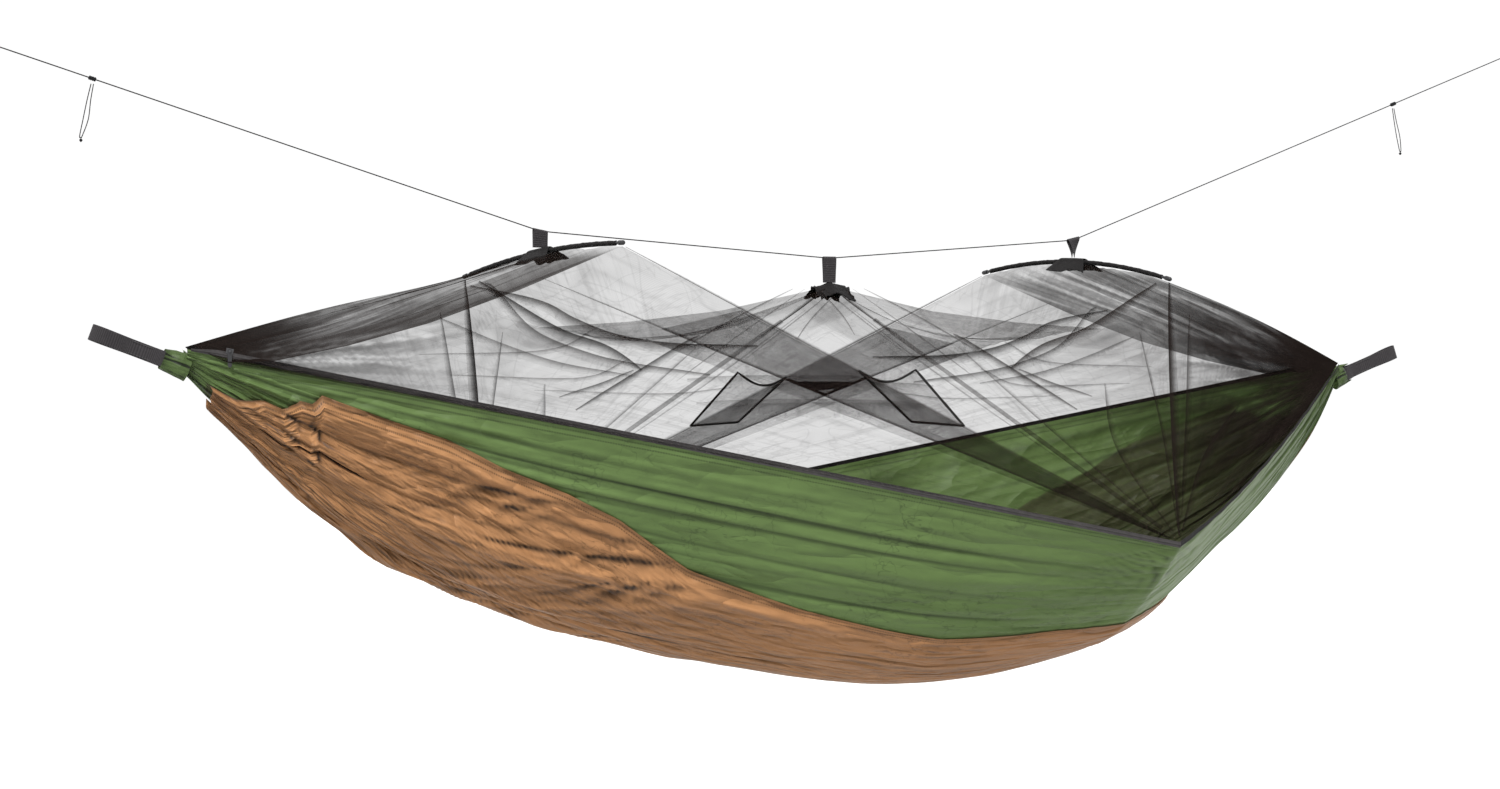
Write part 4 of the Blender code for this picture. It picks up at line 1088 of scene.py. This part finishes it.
class HAMMOCK_OT_organisers(bpy.types.Operator):
    """Make the two small net pockets with their bound rims"""
    bl_idname = "hammock.organisers"
    bl_label = "Organiser pockets"

    def execute(self, context):
        for side in SIDES:
            low = ((5.25, 0.45), (7.2, 0.425))
            top = ((6.7, 0.61), (10.6, 0.66))
            spots = [[net(side, s, r, -0.010, plain=True)[0] for s, r in pair] for pair in (low, top)]

            def place(across, rise):
                ends = [a * (1 - across) + b * across for a, b in spots]
                here = ends[0] * (1 - rise) + ends[1] * rise
                return here - np.array((0, 0, 0.022)) * rise ** 2 * sin(pi * across)

            def shape(u, v):
                return np.array([place(a, b) for a, b in zip(u, v)])

            def crowd(u, v):
                return 2.6 + 1.8 * np.exp(-v * 9) + 2 * crumple(87, u * 3, v * 2) ** 4

            mesh = cloth_grid("organiser_net_" + side, (20, 14), shape, (0.26, 0.2),
                              {"crowd": crowd})
            panel = put("organiser_net_" + side, mesh, "insect_net",
                        replaces=("organiser_%s_panel" % side,))
            rim = ([place(k / 10, 0) for k in range(10)] + [place(1, k / 8) for k in range(8)]
                   + [place(1 - k / 12, 1) for k in range(12)] + [place(0, 1 - k / 8) for k in range(8)])
            tube = tube_mesh("organiser_rim_" + side, np.array(rim) + MIDDLE, 0.0025, 8, closed=True,
                             wobble=0.12)
            binding = put("organiser_rim_" + side, tube, "binding_tape",
                          replaces=("organiser_%s_binding" % side,))
            hung(panel, (0.24, 0.20), with_pieces=[binding])
        return {"FINISHED"}


class HAMMOCK_OT_hems(bpy.types.Operator):
    """Make the bound edges of the bed and dress the zip"""
    bl_idname = "hammock.hems"
    bl_label = "Hems and zip"

    def execute(self, context):
        for side, part in (("near", "short"), ("far", "short"), ("far", "long")):
            self.make_hem(side, part)
        self.make_zip()
        for node, material in (("near_zip_slider", "slider_metal"), ("near_zip_pull", "cap_plastic")):
            dress(node, material)
        return {"FINISHED"}

    def make_hem(self, side, part):
        sign = SIDES[side]
        if part == "short":
            start, stop = CORNER_ALONG + 0.004, REACH - 0.004
        else:
            start, stop = -REACH + 0.004, CORNER_ALONG + 0.004
        tall = SEAM_OVER_EDGE[side] + 0.001

        def shape(u, v):
            towards = start + (stop - start) * u
            base = edge(side, -sign * towards)
            room = 0.25 + 0.75 * ease((REACH - np.abs(towards)) / 0.10)
            if side == "near":
                room *= 1 - 0.42 * ease((towards - CORNER_ALONG) / 0.20)
            base[:, 2] += -0.0015 + v * tall * room
            base[:, 1] += sign * (0.0030 - 0.0022 * v + 0.0008 * np.sin(towards * 90))
            return base

        mesh = cloth_grid("hem_%s_%s" % (side, part), (200, 4), shape, (stop - start, tall))
        piece = put(mesh.name, mesh, "binding_tape", replaces=("%s_%s_hem" % (side, part),))
        thicken(piece, 0.0014)

    def make_zip(self):
        """Both zip tapes as one band, with the closed coil's ridge along its middle."""
        def shape(u, v):
            towards = -REACH + 0.006 + (CORNER_ALONG + REACH - 0.002) * u
            base = edge("near", towards)
            base[:, 2] += -0.0025 + v * 0.0118 * (0.4 + 0.6 * ease((towards + REACH) / 0.06))
            coil = np.exp(-((v - 0.5) / 0.10) ** 2)
            base[:, 1] -= 0.0026 + 0.0016 * coil + 0.0005 * np.sin(towards * 60 + v * 3)
            return base

        mesh = cloth_grid("zip_band", (420, 14), shape, (1.82, 0.012))
        put("zip_band", mesh, "zip_nylon",
            replaces=("near_zip_upper_tape", "near_zip_lower_tape"))


def dress(node, material):
    """Give a CAD node a finish."""
    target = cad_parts[node]
    for slot in target.material_slots:
        slot.material = finish(material)


class HAMMOCK_OT_rods(bpy.types.Operator):
    """Dress the spreader rods and sew their sleeves"""
    bl_idname = "hammock.rods"
    bl_label = "Rods and sleeves"

    def execute(self, context):
        for end in ENDS:
            dress(end + "_spreader_rod", "rod_paint")
            for side in SIDES:
                dress("%s_rod_cap_%s" % (end, side), "cap_plastic")
            across = np.linspace(-0.93, 0.93, 90)
            swell = 1 + 0.10 * np.sin(across * 61) * np.sin(across * 17 + 1) + 0.04 * np.sin(across * 140)
            mesh = tube_mesh("rod_sleeve_" + end, rod(end, across) + MIDDLE, 0.0041 * swell, 14)
            put("rod_sleeve_" + end, mesh, "sleeve_cloth",
                replaces=(end + "_rod_sleeve",))

            def flap(u, v):
                line = rod(end, -0.93 + 1.86 * u)
                line[:, 2] -= 0.002 + 0.0035 * v
                line[:, 0] += 0.0015 * np.sin(u * 55) * v
                return line

            seam = cloth_grid("sleeve_seam_" + end, (80, 4), flap, (0.53, 0.012))
            piece = put("sleeve_seam_" + end, seam, "sleeve_cloth")
            thicken(piece, 0.0012)
        return {"FINISHED"}


class HAMMOCK_OT_patches(bpy.types.Operator):
    """Make the patches that take the pull of the net loops"""
    bl_idname = "hammock.patches"
    bl_label = "Patches"

    def execute(self, context):
        for end in ENDS:
            self.over_rod(end)
        self.at_peak()
        return {"FINISHED"}

    def over_rod(self, end):
        """A patch folded over the sleeve, its corners hanging as crumpled points."""
        def shape(u, v):
            across = (v - 0.5) * 0.060 / ROD_HALF * 2 * (0.55 + 0.45 * np.abs(2 * u - 1))
            line = rod(end, across)
            turn = (u - 0.5) * 2
            wrap = np.clip(np.abs(turn) / 0.25, 0, 1)
            hang = np.clip((np.abs(turn) - 0.25) / 0.75, 0, 1)
            angle = wrap * radians(80)
            radius = 0.0068
            line[:, 0] += np.sign(turn) * (radius * np.sin(angle) + hang * 0.016)
            line[:, 2] += radius * np.cos(angle) - hang * 0.022
            rough = 0.011 * (crumple(93, u * 3, v * 3) - 0.5) * hang
            line[:, 2] += rough
            line[:, 0] += rough
            return line

        mesh = cloth_grid("loop_patch_" + end, (36, 24), shape, (0.08, 0.06))
        piece = put(mesh.name, mesh, "sleeve_cloth", replaces=("patch_" + end,))
        thicken(piece, 0.0012)

    def at_peak(self):
        """A crumpled square patch over the net's peak, its corners reaching down the tent."""
        def shape(u, v):
            x, y = (2 * u - 1), (2 * v - 1)
            far = np.maximum(np.abs(x), np.abs(y))
            place = rows(NET_PEAK[0] + x * 0.040, y * 0.036,
                         NET_PEAK[2] + 0.008 - 0.012 * np.abs(x) - 0.026 * np.abs(y) ** 1.1)
            rough = crumple(91, x * 2.2, y * 2.2) - 0.5
            place[:, 2] += 0.014 * rough * far
            place[:, 0] += 0.010 * (crumple(92, y * 2, x) - 0.5) * far
            return place

        mesh = cloth_grid("loop_patch_middle", (28, 28), shape, (0.08, 0.08))
        piece = put(mesh.name, mesh, "sleeve_cloth", replaces=("patch_middle",))
        thicken(piece, 0.0012)


def strap_mesh(name, line, across, width, thickness):
    """A flat strap along a line; across gives its width's direction at each point."""
    count = len(line)

    def shape(u, v):
        k = u * (count - 1)
        base = np.stack([np.interp(k, np.arange(count), line[:, c]) for c in range(3)], 1)
        out = np.stack([np.interp(k, np.arange(count), across[:, c]) for c in range(3)], 1)
        return base + out * ((v - 0.5) * width)[:, None]

    mesh = cloth_grid(name, (count * 2, 24), shape, (length_of(line), width))
    bm = bmesh.new()
    bm.from_mesh(mesh)
    bmesh.ops.recalc_face_normals(bm, faces=bm.faces)
    bmesh.ops.solidify(bm, geom=bm.faces, thickness=thickness)
    bm.to_mesh(mesh)
    bm.free()
    return mesh


def stitch_rows(name, spots, way, half, thread=0.00045):
    """Short raised stitches, one at each spot, lying along a direction."""
    bm = bmesh.new()
    turn = Vector(way).to_track_quat("Z", "Y").to_matrix().to_4x4()
    for spot in spots:
        place = Matrix.Translation(Vector(spot)) @ turn
        bmesh.ops.create_cone(bm, cap_ends=True, segments=5, radius1=thread, radius2=thread,
                              depth=half * 2, matrix=place)
    mesh = bpy.data.meshes.new(name)
    bm.to_mesh(mesh)
    bm.free()
    return mesh


class HAMMOCK_OT_hanging_loops(bpy.types.Operator):
    """Make the doubled webbing loops that the hammock hangs by"""
    bl_idname = "hammock.hanging_loops"
    bl_label = "Hanging loops"

    def execute(self, context):
        width = context.scene.hammock_sizes.webbing_width
        for end, sign in ENDS.items():
            out = np.array((sign * cos(LOOP_RISE), 0, sin(LOOP_RISE)))
            stand = np.array((-sign * sin(LOOP_RISE), 0, cos(LOOP_RISE)))
            aside = np.array((0, 1.0, 0))
            gather = np.array((sign * HALF_SPAN, 0, 0))
            # half widths of the loop at distances from the core: sewn together, then open
            half = smooth([(-0.0083, 0.0), (-0.004, 0.0078), (0.006, 0.0074), (0.018, 0.0030),
                           (0.040, 0.0014), (0.074, 0.0014), (0.092, 0.0034), (0.122, 0.0078),
                           (0.144, 0.0062), (0.1492, 0.0)], 6)
            ring = np.vstack([half, (half * (1, -1))[::-1][1:]])
            line = gather + ring[:, :1] * out + ring[:, 1:] * aside
            upright = np.broadcast_to(stand, line.shape)
            mesh = strap_mesh(end + "_webbing", line, upright, width, 0.0016)
            body = "hammock" if end == "head" else "foot_hanging_loop"
            node = end + "_hanging_loop"
            put(end + "_webbing", mesh, "hanging_webbing", body=body, replaces=(node,))
            spots = []
            for face in (-1, 1):
                for row in (-0.011, 0.011):
                    for k in range(14):
                        spots.append(gather + out * (0.034 + 0.003 * k) + aside * face * 0.0027
                                     + stand * row + MIDDLE)
            stitches = stitch_rows(end + "_webbing_stitches", spots, out, 0.0010)
            put(end + "_webbing_stitches", stitches, "sewing_thread", body=body)
            self.wrap(end, out, stand, aside, gather)
        return {"FINISHED"}

    def wrap(self, end, out, stand, aside, gather):
        """The bunched end of the bed's cloth round the webbing, open where the foot's swings."""
        def pleats(turn, v):
            return crumple(95, turn * 2.6, v * 0.8)

        def shape(u, v):
            turn = 2 * pi * u
            start = 0.012
            if end == "foot":
                start = 0.012 - 0.0185 * ease((np.abs(np.cos(turn)) - 0.30) / 0.15)
            reach = start - (start + 0.038) * v
            pleat = 1 + 0.26 * (pleats(turn, v) - 0.5) * ease(0.4 + v)
            tall = (0.0190 + 0.0052 * v) * pleat
            wide = (0.0128 + 0.0034 * v) * pleat
            centre = gather + out * reach[:, None]
            return (centre + aside * (wide * np.cos(turn))[:, None]
                    + stand * (tall * np.sin(turn))[:, None])

        # Painted shade: through the bed finish this mask darkens the whole bunched wrap, most in its
        # pleats' hollows.
        def fold_shading(u, v):
            return np.clip(3.2 * (0.74 - pleats(2 * pi * u, v)), 0.3, 1)

        mesh = cloth_grid(end + "_gather_cloth", (200, 24), shape, (0.16, 0.056),
                          {"rim": lambda u, v: np.full_like(u, 1.0), "fold_shading": fold_shading})
        put(end + "_gather_cloth", mesh, "bed_nylon",
            replaces=(end + "_gather_core",))


class HAMMOCK_OT_net_loops(bpy.types.Operator):
    """Make the webbing loops that hang the net on the ridgeline"""
    bl_idname = "hammock.net_loops"
    bl_label = "Net loops"

    def execute(self, context):
        width = context.scene.hammock_sizes.webbing_width
        seats = {"head": rod("head", 0.0)[0], "foot": rod("foot", 0.0)[0], "middle": NET_PEAK}
        lifts = {"head": 0.0085, "foot": 0.0085, "middle": 0.0075}
        twist = {"head": 0.0, "middle": 0.0, "foot": 1.0}
        pinch = {"head": 1.0, "middle": 0.90, "foot": 0.35}
        slopes = {"head": -0.17, "middle": 0.015, "foot": 0.24}
        for place, seat in seats.items():
            crown = np.array((seat[0], 0, LINE_OVER[place] + 0.0035))
            foot = seat + np.array((0, 0, lifts[place]))
            tall = crown[2] - foot[2]
            half = smooth([(0.0, 0.0030), (0.35, 0.0032), (0.75, 0.0040), (0.93, 0.0036), (1.0, 0.0)], 6)
            ring = np.vstack([half, (half * (1, -1))[::-1][1:]])
            line = rows(crown[0], ring[:, 1], foot[2] + ring[:, 0] * tall)
            angle = twist[place] * (1 - ring[:, 0])
            grip = pinch[place] + (1 - pinch[place]) * ring[:, 0]
            lean = slopes[place] * ring[:, 0]
            across = rows(np.cos(angle) * grip, np.sin(angle) * grip, lean)
            mesh = strap_mesh("net_loop_webbing_" + place, line, across, width, 0.0015)
            put(mesh.name, mesh, "hanging_webbing", replaces=("net_loop_" + place,))
        return {"FINISHED"}


class HAMMOCK_OT_knots(bpy.types.Operator):
    """Dress the knots on the line and its tails"""
    bl_idname = "hammock.knots"
    bl_label = "Knots"

    def execute(self, context):
        for end in ENDS:
            for node in ("line_knot", "line_eye", "tensioner", "tail_knot"):
                dress("%s_%s" % (end, node), "braided_cord")
        return {"FINISHED"}


class HAMMOCK_OT_stage(bpy.types.Operator):
    """Set the pale floor, the soft lights and the white surroundings"""
    bl_idname = "hammock.stage"
    bl_label = "Stage"

    def execute(self, context):
        bm = bmesh.new()
        bmesh.ops.create_grid(bm, x_segments=1, y_segments=1, size=30.0)
        bmesh.ops.translate(bm, verts=bm.verts, vec=Vector((MIDDLE[0], 0, -1.15)))
        mesh = bpy.data.meshes.new("floor")
        bm.to_mesh(mesh)
        bm.free()
        floor = bpy.data.objects.new("floor", mesh)
        context.scene.collection.objects.link(floor)
        paint = Finish("floor_paint", Base_Color=(0.62, 0.62, 0.62, 1))
        grain = paint.noise(paint.place(), 9.0)
        paint.paint("Roughness", grain * 0.08 + 0.86)
        mesh.materials.append(paint.material)
        world = bpy.data.worlds.new("studio")
        world.use_nodes = True
        world.node_tree.nodes["Background"].inputs[0].default_value = (1, 1, 1, 1)
        world.node_tree.nodes["Background"].inputs[1].default_value = 1.02
        context.scene.world = world
        sun = bpy.data.objects.new("sun", bpy.data.lights.new("sun", "SUN"))
        sun.data.energy, sun.data.angle = 5.5, radians(9)
        sun.rotation_euler = Vector((0.55, 0.50, -0.80)).to_track_quat("-Z", "Y").to_euler()
        context.scene.collection.objects.link(sun)
        for name, place, size, power in (("key", (-2.6, -3.4, 3.2), 3.0, 75.0),
                                         ("fill", (3.0, -3.6, 2.4), 3.0, 38.0),
                                         ("back", (0.5, 3.6, 2.6), 3.0, 30.0)):
            data = bpy.data.lights.new(name, "AREA")
            data.size = size
            data.energy = power
            lamp = bpy.data.objects.new(name, data)
            lamp.location = Vector(MIDDLE) + Vector(place)
            aim = Vector(MIDDLE) - lamp.location
            lamp.rotation_euler = aim.to_track_quat("-Z", "Y").to_euler()
            context.scene.collection.objects.link(lamp)
        context.scene.view_settings.view_transform = "Standard"
        return {"FINISHED"}


class HAMMOCK_PT_panel(bpy.types.Panel):
    """The hammock's pieces"""
    bl_label = "Camping hammock"
    bl_idname = "HAMMOCK_PT_panel"
    bl_space_type = "VIEW_3D"
    bl_region_type = "UI"
    bl_category = "Hammock"

    def draw(self, context):
        for group in (context.scene.hammock_finishes, context.scene.hammock_sizes):
            box = self.layout.box()
            for key in group.__annotations__:
                box.prop(group, key)
        for operator in OPERATORS:
            self.layout.operator(operator.bl_idname)


OPERATORS = (HAMMOCK_OT_camera, HAMMOCK_OT_cords, HAMMOCK_OT_bed, HAMMOCK_OT_net,
             HAMMOCK_OT_organisers, HAMMOCK_OT_hems, HAMMOCK_OT_rods, HAMMOCK_OT_patches,
             HAMMOCK_OT_hanging_loops, HAMMOCK_OT_net_loops, HAMMOCK_OT_knots, HAMMOCK_OT_stage)
CLASSES = (HammockFinishes, HammockSizes) + OPERATORS + (HAMMOCK_PT_panel,)


def register():
    for item in CLASSES:
        bpy.utils.register_class(item)
    bpy.types.Scene.hammock_finishes = bpy.props.PointerProperty(type=HammockFinishes)
    bpy.types.Scene.hammock_sizes = bpy.props.PointerProperty(type=HammockSizes)


def unregister():
    del bpy.types.Scene.hammock_sizes
    del bpy.types.Scene.hammock_finishes
    for item in reversed(CLASSES):
        bpy.utils.unregister_class(item)


def main():
    register()
    for operator in OPERATORS:
        getattr(bpy.ops.hammock, operator.bl_idname.split(".")[1])()


if __name__ == "__main__":
    main()
